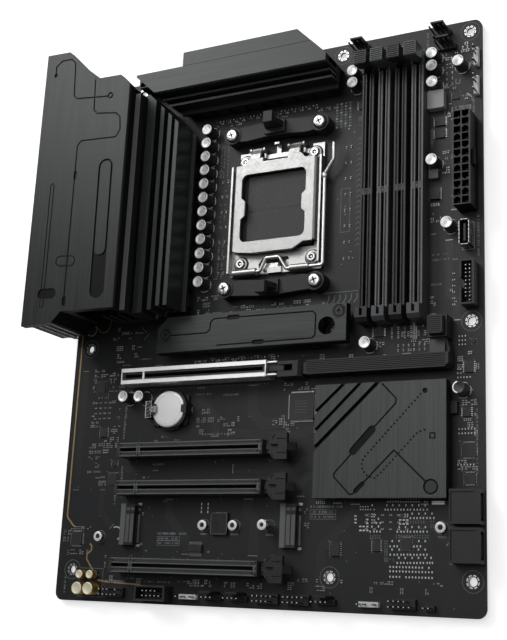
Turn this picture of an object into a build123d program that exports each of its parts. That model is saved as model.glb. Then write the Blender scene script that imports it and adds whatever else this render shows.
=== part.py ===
from build123d import *
import math
import os

# Full-size ATX desktop motherboard as an assembly of separate parts, in millimetres.
# Modelled with x from the rear connector edge, y from the lower edge and z up from the
# component face.  Saved with the origin at the centre of the lower rear mounting hole,
# on the board's underside.

# ---------------------------------------------------------------- driving sizes
BOARD_X = 243.84          # rear edge to front edge
BOARD_Y = 304.80
BOARD_T = 1.6
BOARD_CORNER = 4.6
HOLE_R = 1.98             # mounting holes
HOLES = [(10.16, 16.51), (10.16, 140.97), (33.02, 298.45),
         (165.10, 16.51), (165.10, 140.97), (165.10, 298.45),
         (237.49, 16.51), (237.49, 140.97), (237.49, 298.45)]
ORIGIN = HOLES[0]
UNDERSIDE = -BOARD_T
SEAT = 0.02               # parts stand this far above the component face

SOCKET_X, SOCKET_Y = 128.6, 212.1      # processor socket centre
COOLER_DX, COOLER_DY = 54.0, 90.0      # spacing of the cooler bracket posts
BRACKET_POSTS = [(SOCKET_X + sx * COOLER_DX / 2, SOCKET_Y + sy * COOLER_DY / 2)
                 for sx in (-1, 1) for sy in (-1, 1)]
FRAME_POSTS = [(108.2, 241.8), (151.0, 241.8), (108.0, 182.0), (151.0, 182.0)]
POSTS = BRACKET_POSTS + FRAME_POSTS
POST_R = 2.9                           # backplate posts through the board
POST_BORE = 1.45
SCREW_BORE = 1.75                      # screw holes in the frame and brackets
LOAD_PIVOT_Y, LOAD_PIVOT_Z = 247.6, 3.3
LEVER_Y, LEVER_Z, LEVER_R = 176.5, 4.3, 1.0

COVER_TOP, COVER_T = 46.5, 4.6
COVER_UNDER = COVER_TOP - COVER_T
WALL_TOP = COVER_UNDER + 0.1           # cover walls run into its plate
FIN_TOP = 26.5
TOPSINK_H = 28.0
M2_TOP, CHIPSET_TOP = 12.5, 10.0

# screws through the board, by heatsink
LEFT_SCREWS = [(51.0, 160.0), (51.0, 262.0)]
TOP_SCREWS = [(84.0, 298.0), (146.0, 298.0)]
CHIPSET_SCREWS = [(165.5, 61.5), (221.0, 103.5)]
SINK_SCREWS = LEFT_SCREWS + TOP_SCREWS + CHIPSET_SCREWS
M2_SCREWS = [(68.7, 142.6), (171.9, 148.2)]

DIMM_X = [184.2, 193.3, 202.6, 211.9]
DIMM_W, DIMM_H = 6.6, 9.5
DIMM_Y0 = 141.6                        # lower end of the memory slots
DIMM_PIVOT_Y, DIMM_PIVOT_Z = 284.2, 4.0

PCIE_Y = [120.9, 80.26, 59.94, 19.3]
PCIE_X0, PCIE_X1, PCIE_W, PCIE_H = 41.5, 130.5, 7.5, 11.2
PCIE_PIVOT_X, PCIE_PIVOT_Z = 135.6, 4.0
SLOT1_Y = PCIE_Y[0]
SLOT1_PIVOT_X, SLOT1_PIVOT_Z = 139.0, 6.2

CAP_R, CAP_TOP = 3.15, 8.4
POWER_H, POWER_PITCH = 12.8, 4.2
PIN_PITCH = 2.54

os.makedirs("parts", exist_ok=True)


# ---------------------------------------------------------------- helpers
def box(x0, x1, y0, y1, z0, z1):
    """Box between limits; each pair may be given in either order."""
    middle = Pos((x0 + x1) / 2, (y0 + y1) / 2, (z0 + z1) / 2)
    return middle * Box(abs(x1 - x0), abs(y1 - y0), abs(z1 - z0))


def cyl(x, y, radius, z0, z1):
    return Pos(x, y, (z0 + z1) / 2) * Cylinder(radius, z1 - z0)


def cyl_x(x0, x1, y, z, radius):
    return Pos((x0 + x1) / 2, y, z) * Rot(0, 90, 0) * Cylinder(radius, x1 - x0)


def cyl_y(x, y0, y1, z, radius):
    return Pos(x, (y0 + y1) / 2, z) * Rot(90, 0, 0) * Cylinder(radius, y1 - y0)


def ring(x, y, outer, inner, z0, z1):
    return cyl(x, y, outer, z0, z1) - cyl(x, y, inner, z0 - 1, z1 + 1)


def prism(points, z0, z1):
    """Outline of (x, y) points, extruded along z."""
    face = make_face(Polyline(*[(x, y, z0) for x, y in points], close=True))
    return extrude(face, amount=z1 - z0, dir=(0, 0, 1))


def prism_x(points, x0, x1):
    """Outline of (y, z) points, extruded along x."""
    face = make_face(Polyline(*[(x0, y, z) for y, z in points], close=True))
    return extrude(face, amount=x1 - x0, dir=(1, 0, 0))


def prism_y(points, y0, y1):
    """Outline of (x, z) points, extruded along y."""
    face = make_face(Polyline(*[(x, y0, z) for x, z in points], close=True))
    return extrude(face, amount=y1 - y0, dir=(0, 1, 0))


def rbox(x0, x1, y0, y1, z0, z1, corner):
    """Box with its upright edges rounded."""
    outline = Pos((x0 + x1) / 2, (y0 + y1) / 2, z0) * RectangleRounded(x1 - x0, y1 - y0, corner)
    return extrude(outline, amount=z1 - z0, dir=(0, 0, 1))


def hexagon(x, y, across_flats, z0, z1):
    outline = Pos(x, y, z0) * RegularPolygon(across_flats / 2, 6, major_radius=False)
    return extrude(outline, amount=z1 - z0, dir=(0, 0, 1))


def fuse(shapes):
    result = shapes[0]
    for shape in shapes[1:]:
        result = result + shape
    return result


def groove(path, width, z0, z1):
    """Round-ended path of (x, y) points, as one solid to cut or add."""
    pieces = []
    for (xa, ya), (xb, yb) in zip(path, path[1:]):
        angle = math.degrees(math.atan2(yb - ya, xb - xa))
        bar = Box(math.hypot(xb - xa, yb - ya), width, z1 - z0)
        pieces.append(Pos((xa + xb) / 2, (ya + yb) / 2, (z0 + z1) / 2) * Rot(0, 0, angle) * bar)
    return fuse(pieces + [cyl(x, y, width / 2, z0, z1) for x, y in path])


def groove_outline(path, outer, inner, z0, z1):
    return groove(path, outer, z0, z1) - groove(path, inner, z0 - 1, z1 + 1)


def wire(points, radius):
    """Bent round wire through the given points."""
    pieces = []
    for start, end in zip(points, points[1:]):
        start, end = Vector(*start), Vector(*end)
        run = end - start
        pieces.append(Plane(origin=(start + end) * 0.5, z_dir=run) * Cylinder(radius, run.length))
    return fuse(pieces + [Pos(*p) * Sphere(radius) for p in points[1:-1]])


def drill(part, points, radius, z0, z1):
    for x, y in points:
        part = part - cyl(x, y, radius, z0, z1)
    return part


def add_bosses(part, points, radius, top, bore_top):
    """Bored bosses that take the screws from under the board."""
    for x, y in points:
        part = part + cyl(x, y, radius, 0.1, top) - cyl(x, y, 1.3, -1, bore_top)
    return part


def cut_cross(part, x, y, reach, half_width, z0, z1):
    part = part - box(x - reach, x + reach, y - half_width, y + half_width, z0, z1)
    return part - box(x - half_width, x + half_width, y - reach, y + reach, z0, z1)


def screw_head(x, y, radius, z0, z1, recess):
    """Round screw head with a cross recess."""
    return cut_cross(cyl(x, y, radius, z0, z1), x, y, radius * 0.55, 0.35, z1 - recess, z1 + 1)


SHIFT = Location((-ORIGIN[0], -ORIGIN[1], BOARD_T))


def save(name, *shapes):
    """Write the shapes' solids, unfused, as one part in the output frame."""
    solids = [Solid(s.wrapped).moved(SHIFT) for shape in shapes for s in shape.solids()]
    out = solids[0] if len(solids) == 1 else Compound(children=solids)
    export_step(out, "parts/%s.step" % name)


# ---------------------------------------------------------------- board
pcb = rbox(0, BOARD_X, 0, BOARD_Y, UNDERSIDE, 0, BOARD_CORNER)
pcb = drill(pcb, HOLES, HOLE_R, UNDERSIDE - 1, 1)
pcb = drill(pcb, POSTS, POST_R + 0.12, UNDERSIDE - 1, 1)
pcb = drill(pcb, SINK_SCREWS, 1.6, UNDERSIDE - 1, 1)
save("pcb", pcb)

# ---------------------------------------------------------------- processor socket
# steel backplate under the board: arms out to the bracket posts, square opening
BACKPLATE_Z = UNDERSIDE - 2.0
backplate = rbox(98.4, 158.8, 172.5, 251.7, BACKPLATE_Z, UNDERSIDE, 5)
for (x, y) in BRACKET_POSTS:
    root = (x + (3 if x < SOCKET_X else -3), 180 if y < SOCKET_Y else 244)
    backplate += groove([(x, y), root], 10.0, BACKPLATE_Z, UNDERSIDE)
backplate -= rbox(SOCKET_X - 13, SOCKET_X + 13, SOCKET_Y - 13, SOCKET_Y + 13,
                  BACKPLATE_Z - 1, 0, 3)
for (x, y) in POSTS:
    backplate += cyl(x, y, POST_R, UNDERSIDE, -0.05)
backplate = drill(backplate, POSTS, POST_BORE, BACKPLATE_Z - 1, 1)
save("socket_backplate", backplate)

# moulded housing with its shallow well and a block at each side
WELL_Z, HOUSING_TOP = 2.2, 4.9
housing = rbox(106.4, 150.8, 189.6, 236.6, 0, HOUSING_TOP, 1.0)
housing -= rbox(108.2, 149.0, 192.4, 233.8, WELL_Z, 6, 1.2)
for x0, x1 in ((106.4, 110.2), (147.0, 150.8)):
    housing += box(x0, x1, 209.0, 217.4, WELL_Z, HOUSING_TOP)
save("cpu_socket", housing)

# contact field, two halves
save("socket_contacts", *[box(110.5, 146.7, y0, y1, WELL_Z, 3.0)
                          for y0, y1 in ((193.2, 211.6), (212.6, 233.0))])

# steel frame round the housing, with side rails
FRAME_Z0, FRAME_Z1 = 0.6, 1.8
frame = prism([(101.2, 175.4), (156.2, 175.4), (156.2, 247.6), (149.2, 247.6), (149.2, 244.0),
               (145.6, 240.4), (111.0, 240.4), (111.0, 247.6), (104.2, 247.6), (104.2, 239.0),
               (101.2, 239.0)], FRAME_Z0, FRAME_Z1)
frame -= box(105.6, 151.6, 188.6, 238.6, 0, 3)
frame += box(100.8, 101.9, 176.5, 239.0, FRAME_Z0, 5.6)
frame += box(155.1, 156.2, 178.6, 239.0, FRAME_Z0, 5.6)
# bridge behind the socket with the ears that carry the load plate's pivots
EAR_T = 1.1
frame += box(111.0, 149.2, 242.6, 245.2, FRAME_Z0, FRAME_Z1)
for x0 in (111.75, 119.9, 135.1, 144.1):
    ear = box(x0, x0 + EAR_T, 242.8, 249.2, 1.2, LOAD_PIVOT_Z)
    ear += cyl_x(x0, x0 + EAR_T, LOAD_PIVOT_Y, LOAD_PIVOT_Z, 1.9)
    ear -= cyl_x(x0 - 1, x0 + 2.4, LOAD_PIVOT_Y, LOAD_PIVOT_Z, 0.95)
    frame += ear
# upturned tab at the middle of the bridge
frame += box(126.9, 129.7, 242.6, 250.6, FRAME_Z0, FRAME_Z1)
frame += box(126.9, 129.7, 249.4, 250.6, FRAME_Z1, 5.0)
# folded bearings for the lever
for x0, x1 in ((104.6, 118.6), (139.4, 150.2)):
    bearing = cyl_x(x0, x1, LEVER_Y, LEVER_Z, LEVER_R + 0.9)
    bearing += box(x0, x1, LEVER_Y - 1.9, LEVER_Y + 1.1, 1.2, LEVER_Z)
    bearing -= cyl_x(x0 - 1, x1 + 1, LEVER_Y, LEVER_Z, LEVER_R + 0.06)
    frame += bearing
frame += box(124.6, 133.0, 175.4, 178.6, 1.6, 2.9)
save("socket_frame", drill(frame, FRAME_POSTS, SCREW_BORE, -1, 5))

# hinged load plate with a window that has an inward tooth on each side
LOAD_Z0, LOAD_Z1 = 5.7, 6.9
load_plate = prism([(107.6, 187.6), (115.5, 186.6), (141.0, 186.6), (147.0, 190.2),
                    (152.6, 190.2), (152.6, 238.4), (147.0, 238.4), (144.0, 241.6),
                    (136.4, 241.6), (136.4, 239.4), (121.0, 239.4), (121.0, 241.6),
                    (112.2, 241.6), (109.6, 238.4), (104.6, 238.4), (104.6, 188.4)],
                   LOAD_Z0, LOAD_Z1)
window = rbox(108.5, 147.8, 193.3, 232.7, LOAD_Z0 - 1, LOAD_Z1 + 1, 3.5)
# x of the tooth's outside, root and tip
for outside, root, tip in ((107, 108.5, 110.9), (149, 147.8, 145.6)):
    window -= prism([(outside, 206.6), (root, 206.6), (tip, 208.8), (tip, 217.0),
                     (root, 219.2), (outside, 219.2)], LOAD_Z0 - 1, LOAD_Z1 + 1)
load_plate -= window
# folded flanges stand just inside the frame's rails
load_plate += prism_y([(104.6, 6.9), (104.6, 5.7), (103.4, 3.2), (102.5, 3.2), (103.7, 6.2)],
                      189.0, 238.0)
load_plate += prism_y([(152.6, 6.9), (152.6, 5.7), (153.6, 3.2), (154.5, 3.2), (153.5, 6.2)],
                      191.0, 238.0)
# lip that the lever's crank holds down
load_plate += box(116.5, 140.0, 186.6, 187.8, 4.4, LOAD_Z1)
ARM = [(240.8, 5.7), (240.8, 6.9), (244.6, 6.3), (247.0, 5.0), (248.9, 3.9), (248.7, 2.6),
       (246.6, 2.4), (245.9, 3.6), (243.6, 5.2)]    # y, z
for x0, x1 in ((113.0, 119.0), (137.2, 143.2)):
    arm = prism_x(ARM, x0, x1)
    arm += cyl_x(x0, x1, LOAD_PIVOT_Y, LOAD_PIVOT_Z, 1.35)
    arm += cyl_x(x0 - 1.9, x1 + 1.9, LOAD_PIVOT_Y, LOAD_PIVOT_Z, 0.88)
    load_plate += arm
save("load_plate", load_plate)

# load lever, one bent wire with a cranked middle and a kicked-out free end
LEVER_END = (164.2, 243.2, LEVER_Z + 3.4)
lever = wire([(104.0, LEVER_Y, LEVER_Z), (120.8, LEVER_Y, LEVER_Z),
              (124.6, 183.4, LEVER_Z + 0.7), (132.6, 183.4, LEVER_Z + 0.7),
              (136.8, LEVER_Y, LEVER_Z), (157.0, LEVER_Y, LEVER_Z), (158.0, 178.0, LEVER_Z),
              (158.0, 227.6, LEVER_Z + 0.4), (163.6, 234.6, LEVER_Z + 2.0), LEVER_END], LEVER_R)
lever += Pos(158.0, 227.2, LEVER_Z + 0.4) * Sphere(1.55)
lever += Pos(*LEVER_END) * Sphere(LEVER_R)
save("load_lever", lever)

SHANK_R = POST_BORE - 0.06
socket_screws = [screw_head(x, y, 3.5, 1.85, 4.3, 1.1) + cyl(x, y, SHANK_R, -1.2, 2.2)
                 for x, y in FRAME_POSTS]
socket_screws += [screw_head(x, y, 3.9, 8.05, 10.0, 1.0) + cyl(x, y, SHANK_R, -1.2, 8.6)
                  for x, y in BRACKET_POSTS]
save("socket_screws", *socket_screws)

# offsets from the bracket's centre: beam x, y (y outward), then tab x with height z
BEAM = [(-27, -3.6), (-18, -4.4), (-7, -3.4), (7, -3.4), (18, -4.4), (27, -3.6),
        (27, 4.0), (16, 4.6), (7, 5.4), (-7, 5.4), (-16, 4.6), (-27, 4.0)]
TAB = [(-5.6, 9.0), (5.6, 9.0), (4.9, 12.0), (2.7, 18.4), (-2.7, 18.4), (-4.9, 12.0)]


def cooler_bracket(side):
    """Boss at each end, beam, and an upright hook with an outward lip."""
    centre = SOCKET_Y + side * COOLER_DY / 2
    ends = [(SOCKET_X - COOLER_DX / 2, centre), (SOCKET_X + COOLER_DX / 2, centre)]

    def span(near, far):
        return sorted((centre + side * near, centre + side * far))

    bracket = fuse([cyl(x, y, 5.2, 0, 8.0) for x, y in ends])
    bracket += prism([(SOCKET_X + dx, centre + side * dy) for dx, dy in BEAM], 2.2, 7.6)
    bracket += box(SOCKET_X - 6.2, SOCKET_X + 6.2, *span(-2.6, 4.6), 0, 9.4)
    tab = prism_y([(SOCKET_X + dx, z) for dx, z in TAB], *span(0.2, 6.6))
    bracket += tab - box(SOCKET_X - 8, SOCKET_X + 8, *span(3.2, 8.0), 8.0, 16.2)
    return drill(bracket, ends, SCREW_BORE, -1, 9)


save("cooler_brackets", cooler_bracket(1), cooler_bracket(-1))

# ---------------------------------------------------------------- voltage regulator
# left heatsink: fins run along y, upper end mitred; profile of x, z
LEFT_PROFILE = [
    (34.0, 8.5), (57.0, 8.5), (57.0, 2.0), (65.0, 2.0), (65.0, 8.5), (78.8, 8.5), (78.8, 10.5),
    (76.6, 10.5), (76.6, FIN_TOP), (74.1, FIN_TOP), (74.1, 11.5), (71.9, 11.5), (71.9, FIN_TOP),
    (69.4, FIN_TOP), (69.4, 11.5), (66.7, 11.5), (66.7, FIN_TOP), (64.2, FIN_TOP), (64.2, 11.5),
    (60.7, 11.5), (60.7, FIN_TOP), (54.9, FIN_TOP), (54.9, 11.5), (46.4, 11.5), (46.4, 25.5),
    (44.2, 25.5), (44.2, 11.5), (41.0, 11.5), (41.0, 25.5), (38.8, 25.5), (38.8, 11.5),
    (36.2, 11.5), (36.2, 25.5), (34.0, 25.5)]
left_sink = prism_y(LEFT_PROFILE, 152.6, 292.0)
left_sink = left_sink & prism([(30, 152.6), (82, 152.6), (82, 256.6), (56.1, 282.5),
                               (30.0, 282.5)], 0, 40)
# outer fins and ledge start a little higher in y than the covered ones
left_sink -= box(62.4, 90, 140, 153.8, 0, 40)
left_sink -= box(67.6, 90, 140, 155.6, 0, 40)
save("vrm_heatsink_left", add_bosses(left_sink, LEFT_SCREWS, 3.4, 8.6, 7))

# rear cover: plate, then the walls under it
COVER_FRONT = 56.3
cover = prism([(-4.5, 144.7), (-4.5, 309.2), (11.4, 308.6), (32.4, 287.8), (48.9, 287.3),
               (COVER_FRONT, 279.9), (COVER_FRONT, 150.9), (21.6, 151.3), (15.9, 145.4)],
              COVER_UNDER, COVER_TOP)
cover += box(48.1, 50.1, 153.0, 284.5, 27.2, WALL_TOP)
cover += prism([(-1.9, 305.6), (-1.9, 307.4), (10.6, 306.8), (31.6, 286.2), (48.4, 285.7),
                (50.1, 284.0), (47.8, 283.4), (30.8, 284.4), (9.9, 305.0)], 14.0, WALL_TOP)
cover += prism([(-1.9, 147.0), (14.8, 147.6), (20.6, 153.4), (26.0, 153.4), (26.0, 151.8),
                (21.2, 151.8), (15.5, 146.0), (-1.9, 145.6)], 12.0, WALL_TOP)
# bevel along the upper front edge
cover -= prism_y([(COVER_FRONT - 0.9, COVER_TOP + 0.01), (57.5, COVER_TOP + 0.01),
                  (57.5, COVER_TOP - 0.9), (COVER_FRONT + 0.01, COVER_TOP - 0.9)], 140, 300)
# engraved runs and their sunk end pads
LINE_Z, DEEP_Z, OVER_Z = COVER_TOP - 0.45, COVER_TOP - 0.8, COVER_TOP + 1
cover -= groove([(2.7, 295.4), (2.4, 300.6), (6.4, 303.8), (13.4, 303.6), (16.2, 300.6),
                 (17.3, 279.9), (19.6, 277.5), (41.3, 275.3)], 0.8, LINE_Z, OVER_Z)
cover -= groove([(31.6, 287.0), (32.3, 268.4), (34.6, 265.9), (47.8, 264.0), (50.6, 261.2),
                 (51.4, 253.5), (48.8, 249.4), (25.4, 250.6), (22.9, 247.9), (23.2, 158.4)],
                0.75, LINE_Z, OVER_Z)
cover -= groove([(23.2, 231.6), (23.3, 228.4)], 2.1, DEEP_Z, OVER_Z)
cover -= groove([(23.4, 158.4), (23.5, 155.4)], 2.7, DEEP_Z, OVER_Z)
cover -= cyl(2.7, 295.2, 1.2, DEEP_Z, OVER_Z)
cover -= ring(42.8, 275.6, 1.9, 1.0, COVER_TOP - 0.6, OVER_Z)
# long capsule: outlined at high y, sunk at low y
cover -= (groove([(43.7, 232.4), (44.6, 161.4)], 9.3, DEEP_Z, OVER_Z)
          - groove([(43.7, 232.4), (44.3, 184.9)], 7.1, LINE_Z - 1, OVER_Z + 1))
cover -= groove_outline([(7.9, 225.8), (8.3, 155.3)], 2.8, 1.7, LINE_Z, OVER_Z)
cover -= groove([(7.9, 162.2), (14.5, 161.9)], 5.9, DEEP_Z, OVER_Z)
cover -= groove_outline([(18.4, 180.1), (25.4, 179.5)], 6.2, 5.1, LINE_Z, OVER_Z)
save("io_cover", cover)

# top heatsink: profile of y, z with through slots, cut to the plan outline
TOP_PROFILE = [
    (274.0, 8.5), (286.0, 8.5), (286.0, 2.0), (294.0, 2.0), (294.0, 8.5), (304.6, 8.5),
    (304.6, 27.2), (296.2, 27.2), (296.2, 26.4), (295.6, 26.4), (295.6, TOPSINK_H),
    (282.6, TOPSINK_H), (281.8, TOPSINK_H - 0.8), (281.8, 11.6), (280.7, 11.6), (280.7, 22.0),
    (279.3, 22.0), (279.3, 11.6), (278.0, 11.6), (278.0, 19.0), (276.6, 19.0), (276.6, 10.5),
    (274.0, 10.5)]
TOP_PLAN = [(46.6, 295.6), (46.6, 294.4), (61.1, 281.2), (69.6, 272.8), (167.0, 272.8),
            (167.0, 286.9), (148.9, 304.9), (77.2, 304.9), (77.2, 295.6)]    # x, y
top_sink = prism_x(TOP_PROFILE, 40.0, 172.0)
for y0, y1 in ((284.0, 287.0), (288.6, 291.4), (293.0, 295.0), (297.6, 300.0), (301.4, 303.2)):
    top_sink -= box(30, 180, y0, y1, 12.5, 24.0)
top_sink = top_sink & prism(TOP_PLAN, 0, 40)
save("vrm_heatsink_top", add_bosses(top_sink, TOP_SCREWS, 3.2, 8.6, 8))

# power stages and chokes: nine along the left heatsink, eight along the top one
STAGE_TOP, STAGE_HALF = 1.0, 2.6
CHOKE_TOP, CHOKE_HALF = 7.4, 3.9
stages, chokes = [], []
for i in range(9):
    y = 164.0 + 9.6 * i
    stages.append(box(58.0, 64.0, y - STAGE_HALF, y + STAGE_HALF, 0, STAGE_TOP))
    chokes.append(box(68.6, 76.4, y - CHOKE_HALF, y + CHOKE_HALF, 0, CHOKE_TOP))
for i in range(8):
    x = 82.0 + 10.4 * i
    stages.append(box(x - STAGE_HALF, x + STAGE_HALF, 287.0, 293.0, 0, STAGE_TOP))
    chokes.append(box(x - CHOKE_HALF, x + CHOKE_HALF, 275.0, 282.8, 0, CHOKE_TOP))
chokes.append(rbox(215.4, 224.5, 255.6, 265.8, 0.0, 4.5, 0.8))
chokes.append(rbox(215.9, 221.1, 217.2, 222.3, 0.0, 3.0, 0.5))
save("power_stages", *stages)
save("chokes", *chokes)

save("thermal_pads",
     box(57.6, 64.4, 160.6, 252.0, 1.02, 1.98),
     box(68.4, 76.6, 160.0, 252.6, 7.42, 8.48),
     box(79.0, 158.0, 287.2, 292.8, 1.02, 1.98),
     box(78.0, 159.0, 275.2, 282.6, 7.42, 8.48),
     box(74.0, 150.0, 136.0, 150.0, 5.6, 6.98),
     box(183.0, 203.0, 72.0, 92.0, 1.62, 2.98),
     rbox(97.6, 107.2, 36.4, 47.4, SEAT, 2.2, 0.8))

# heatsink screws: headed on the underside, plus two on the storage heatsink
sink_screws = []
for (x, y) in SINK_SCREWS:
    screw = cyl(x, y, 2.9, UNDERSIDE - 1.9, UNDERSIDE - 0.02)
    screw += cyl(x, y, 1.24, UNDERSIDE - 0.1, 5.0)
    sink_screws.append(cut_cross(screw, x, y, 1.6, 0.35, UNDERSIDE - 3, UNDERSIDE - 1.0))
for (x, y) in M2_SCREWS:
    sink_screws.append(screw_head(x, y, 2.3, 11.0, 12.7, 0.9) + cyl(x, y, 0.94, 4.0, 11.4))
save("heatsink_screws", *sink_screws)

# ---------------------------------------------------------------- rear connectors
SHIELD_X0, SHIELD_X1 = -4.4, -3.6
PORT_X = -5.0                          # connector faces
USB_Y = (293.0, 249.5, 228.0)
# y0, y1, top
USB_C = (212.2, 221.8, 4.4)
VIDEO = (267.6, 283.0, 7.0)
LAN = (193.2, 209.6, 28.6)
SHIELD_WINDOWS = [(y - 7.2, y + 7.2, 15.4) for y in USB_Y] + [USB_C, VIDEO, LAN]
AUDIO_Y, AUDIO_Z = 159.3, (6.4, 18.8, 31.2)
ANTENNA_Y, ANTENNA_Z = 178.6, (12.0, 27.0)
BUTTON_Y, BUTTON_Z = 261.6, 8.0


def port(y0, y1, top, back, mouths, tongues):
    """Connector block; mouths (y0, y1, z0, z1, depth) open to -x, tongues
    (start, end, y0, y1, z0, z1) stand in them, both measured in x from its face."""
    shell = box(PORT_X, back, y0, y1, SEAT, top)
    for (a, b, z0, z1, depth) in mouths:
        shell = shell - box(PORT_X - 1, PORT_X + depth, a, b, z0, z1)
    for (start, end, a, b, z0, z1) in tongues:
        shell = shell + box(PORT_X + start, PORT_X + end, a, b, z0, z1)
    return shell


usb_ports = [port(y - 7.2, y + 7.2, 15.4, 12.5,
                  [(y - 6.4, y + 6.4, 1.4, 6.7, 9.5), (y - 6.4, y + 6.4, 9.0, 14.3, 9.5)],
                  [(0.6, 9.6, y - 5.6, y + 5.6, 4.4, 6.0),
                   (0.6, 9.6, y - 5.6, y + 5.6, 12.0, 13.6)]) for y in USB_Y]
usb_ports.append(port(*USB_C, 6.0, [(212.8, 221.2, 0.8, 3.7, 6.5)],
                      [(0.8, 6.6, 213.9, 220.1, 1.85, 2.65)]))
save("usb_ports", *usb_ports)
save("video_port", port(*VIDEO, 7.6, [(268.4, 282.2, 1.0, 6.0, 9.0)],
                        [(0.8, 9.1, 270.0, 280.6, 3.0, 4.2)]))
save("lan_port", port(*LAN, 17.0,
                      [(194.8, 208.0, 15.8, 27.4, 12.0), (195.0, 207.8, 1.4, 6.7, 9.5),
                       (195.0, 207.8, 8.6, 13.9, 9.5)],
                      [(0.6, 9.6, 195.8, 207.0, 4.4, 6.0), (0.6, 9.6, 195.8, 207.0, 11.6, 13.2)]))

audio = box(-2.9, 9.0, 153.0, 165.6, SEAT, 37.2)
for z in AUDIO_Z:
    audio += cyl_x(-5.0, -2.8, AUDIO_Y, z, 4.0)
    audio -= cyl_x(-6.0, 6.0, AUDIO_Y, z, 1.85)
save("audio_jacks", audio)

antennas = []
# base height, and block height above the axis
for z, (base, rise) in zip(ANTENNA_Z, ((SEAT, 3.2), (15.4, 3.6))):
    antenna = cyl_x(-12.4, -4.6, ANTENNA_Y, z, 3.1) + cyl_x(-3.4, 6.0, ANTENNA_Y, z, 3.1)
    antenna += cyl_x(-4.6, -3.4, ANTENNA_Y, z, 2.6)
    antenna += box(-3.4, 4.0, 175.0, 182.2, base, z + rise)
    antenna -= cyl_x(-13.0, -2.0, ANTENNA_Y, z, 2.1)
    antenna += cyl_x(-10.5, -1.9, ANTENNA_Y, z, 0.5)
    antennas.append(antenna)
save("antenna_connectors", *antennas)

# shield sheet with a return at each end
shield = box(SHIELD_X0, SHIELD_X1, 148.6, 306.6, -2.6, COVER_UNDER - 0.05)
for y0, y1 in ((148.6, 149.4), (305.8, 306.6)):
    shield += box(SHIELD_X0, SHIELD_X1 + 1.6, y0, y1, -2.6, COVER_UNDER - 0.05)
for y0, y1, top in SHIELD_WINDOWS:
    shield -= box(SHIELD_X0 - 1, SHIELD_X1 + 0.2, y0 - 0.25, y1 + 0.25, -0.2, top + 0.25)
for z in AUDIO_Z:
    shield -= cyl_x(-6, -3.2, AUDIO_Y, z, 4.25)
for z in ANTENNA_Z:
    shield -= cyl_x(-6, -3.2, ANTENNA_Y, z, 2.8)
shield -= cyl_x(-6, -3.2, BUTTON_Y, BUTTON_Z, 2.55)
# two long slots above the ports
for z in (33.0, 36.4):
    shield -= box(SHIELD_X0 - 1, SHIELD_X1 + 0.2, 188.0, 300.0, z, z + 1.4)
save("io_shield", shield)

save("flashback_switch", box(-0.2, 6.2, BUTTON_Y - 3.4, BUTTON_Y + 3.4, SEAT, 11.4)
     - cyl_x(-1, 4.6, BUTTON_Y, BUTTON_Z, 1.07))
save("flashback_button", cyl_x(-4.9, -2.2, BUTTON_Y, BUTTON_Z, 2.4)
     + cyl_x(-2.4, 3.2, BUTTON_Y, BUTTON_Z, 1.0))


# ---------------------------------------------------------------- capacitors
def capacitor(x, y, radius, top, neck_inset, base_half, corner):
    """Can on a narrower neck and a square base."""
    can = cyl(x, y, radius, 0.9, top) + cyl(x, y, radius - neck_inset, 0.5, 1.0)
    return can + rbox(x - base_half, x + base_half, y - base_half, y + base_half,
                      SEAT, 0.6, corner)


CAPS = [(84.3, 172.9 + 8.27 * i) for i in range(12)]
CAPS += [(173.9, 284.2), (174.1, 277.1), (218.9, 285.9), (218.9, 278.7), (219.2, 269.4),
         (233.2, 278.8), (219.1, 225.8), (227.1, 190.9), (184.3, 131.9), (40.3, 110.5),
         (50.6, 110.2), (233.2, 106.6)]
# x, y, radius, top
AUDIO_CAPS = [(19.4, 6.6, 3.25, 8.0), (26.6, 6.6, 3.25, 8.0),
              (18.6, 14.0, 2.25, 5.6), (25.4, 14.0, 2.25, 5.6)]
save("capacitors", *[capacitor(x, y, CAP_R, CAP_TOP, 0.35, 3.3, 0.9) for x, y in CAPS])
save("audio_capacitors", *[capacitor(x, y, radius, top, 0.3, radius + 0.1, 0.7)
                           for x, y, radius, top in AUDIO_CAPS])


# ---------------------------------------------------------------- memory slots
def dimm_slot(x):
    x0, x1 = x - DIMM_W / 2, x + DIMM_W / 2
    slot = box(x0, x1, 148.6, 280.0, SEAT, DIMM_H)
    # fixed tower at the lower end
    slot += box(x0, x1, DIMM_Y0, 149.0, SEAT, 14.0)
    slot -= box(x - 0.8, x + 0.8, 144.6, 149.4, 3.0, 15)
    slot -= prism_x([(DIMM_Y0 - 1, 11.0), (DIMM_Y0 - 1, 15), (DIMM_Y0 + 3.0, 15)], x0 - 1, x1 + 1)
    # cheeks that carry the latch at the upper end
    for side in (-1, 1):
        slot += box(x + side * 2.15, x + side * DIMM_W / 2, 279.6, 286.6, SEAT, 10.6)
    slot += box(x0, x1, 279.6, 281.0, SEAT, 2.0)
    slot -= cyl_x(x0 - 1, x1 + 1, DIMM_PIVOT_Y, DIMM_PIVOT_Z, 1.0)
    # card groove with one key
    slot -= box(x - 0.8, x + 0.8, 148.0, 281.0, 1.6, 15)
    slot += box(x - 1.2, x + 1.2, 211.4, 213.2, 1.6, DIMM_H - 0.2)
    # shallow channels beside the groove
    for side in (-1, 1):
        for y0, y1 in ((150.4, 210.4), (214.2, 278.6)):
            slot -= box(x + side * 1.5, x + side * 2.3, y0, y1, DIMM_H - 0.8, 15)
    return slot


# y, z
TONGUE = [(282.2, 1.6), (286.4, 1.0), (286.8, 4.0), (286.6, 11.0), (287.4, 13.0), (287.4, 21.0),
          (279.6, 21.0), (279.6, 19.4), (281.6, 13.0), (281.4, 8.6), (282.4, 5.0)]
THUMB_PAD = [(281.6, 12.0), (287.4, 12.4), (287.4, 22.0), (286.9, 22.4), (279.9, 22.4),
             (279.4, 21.8), (279.4, 19.4)]


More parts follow.
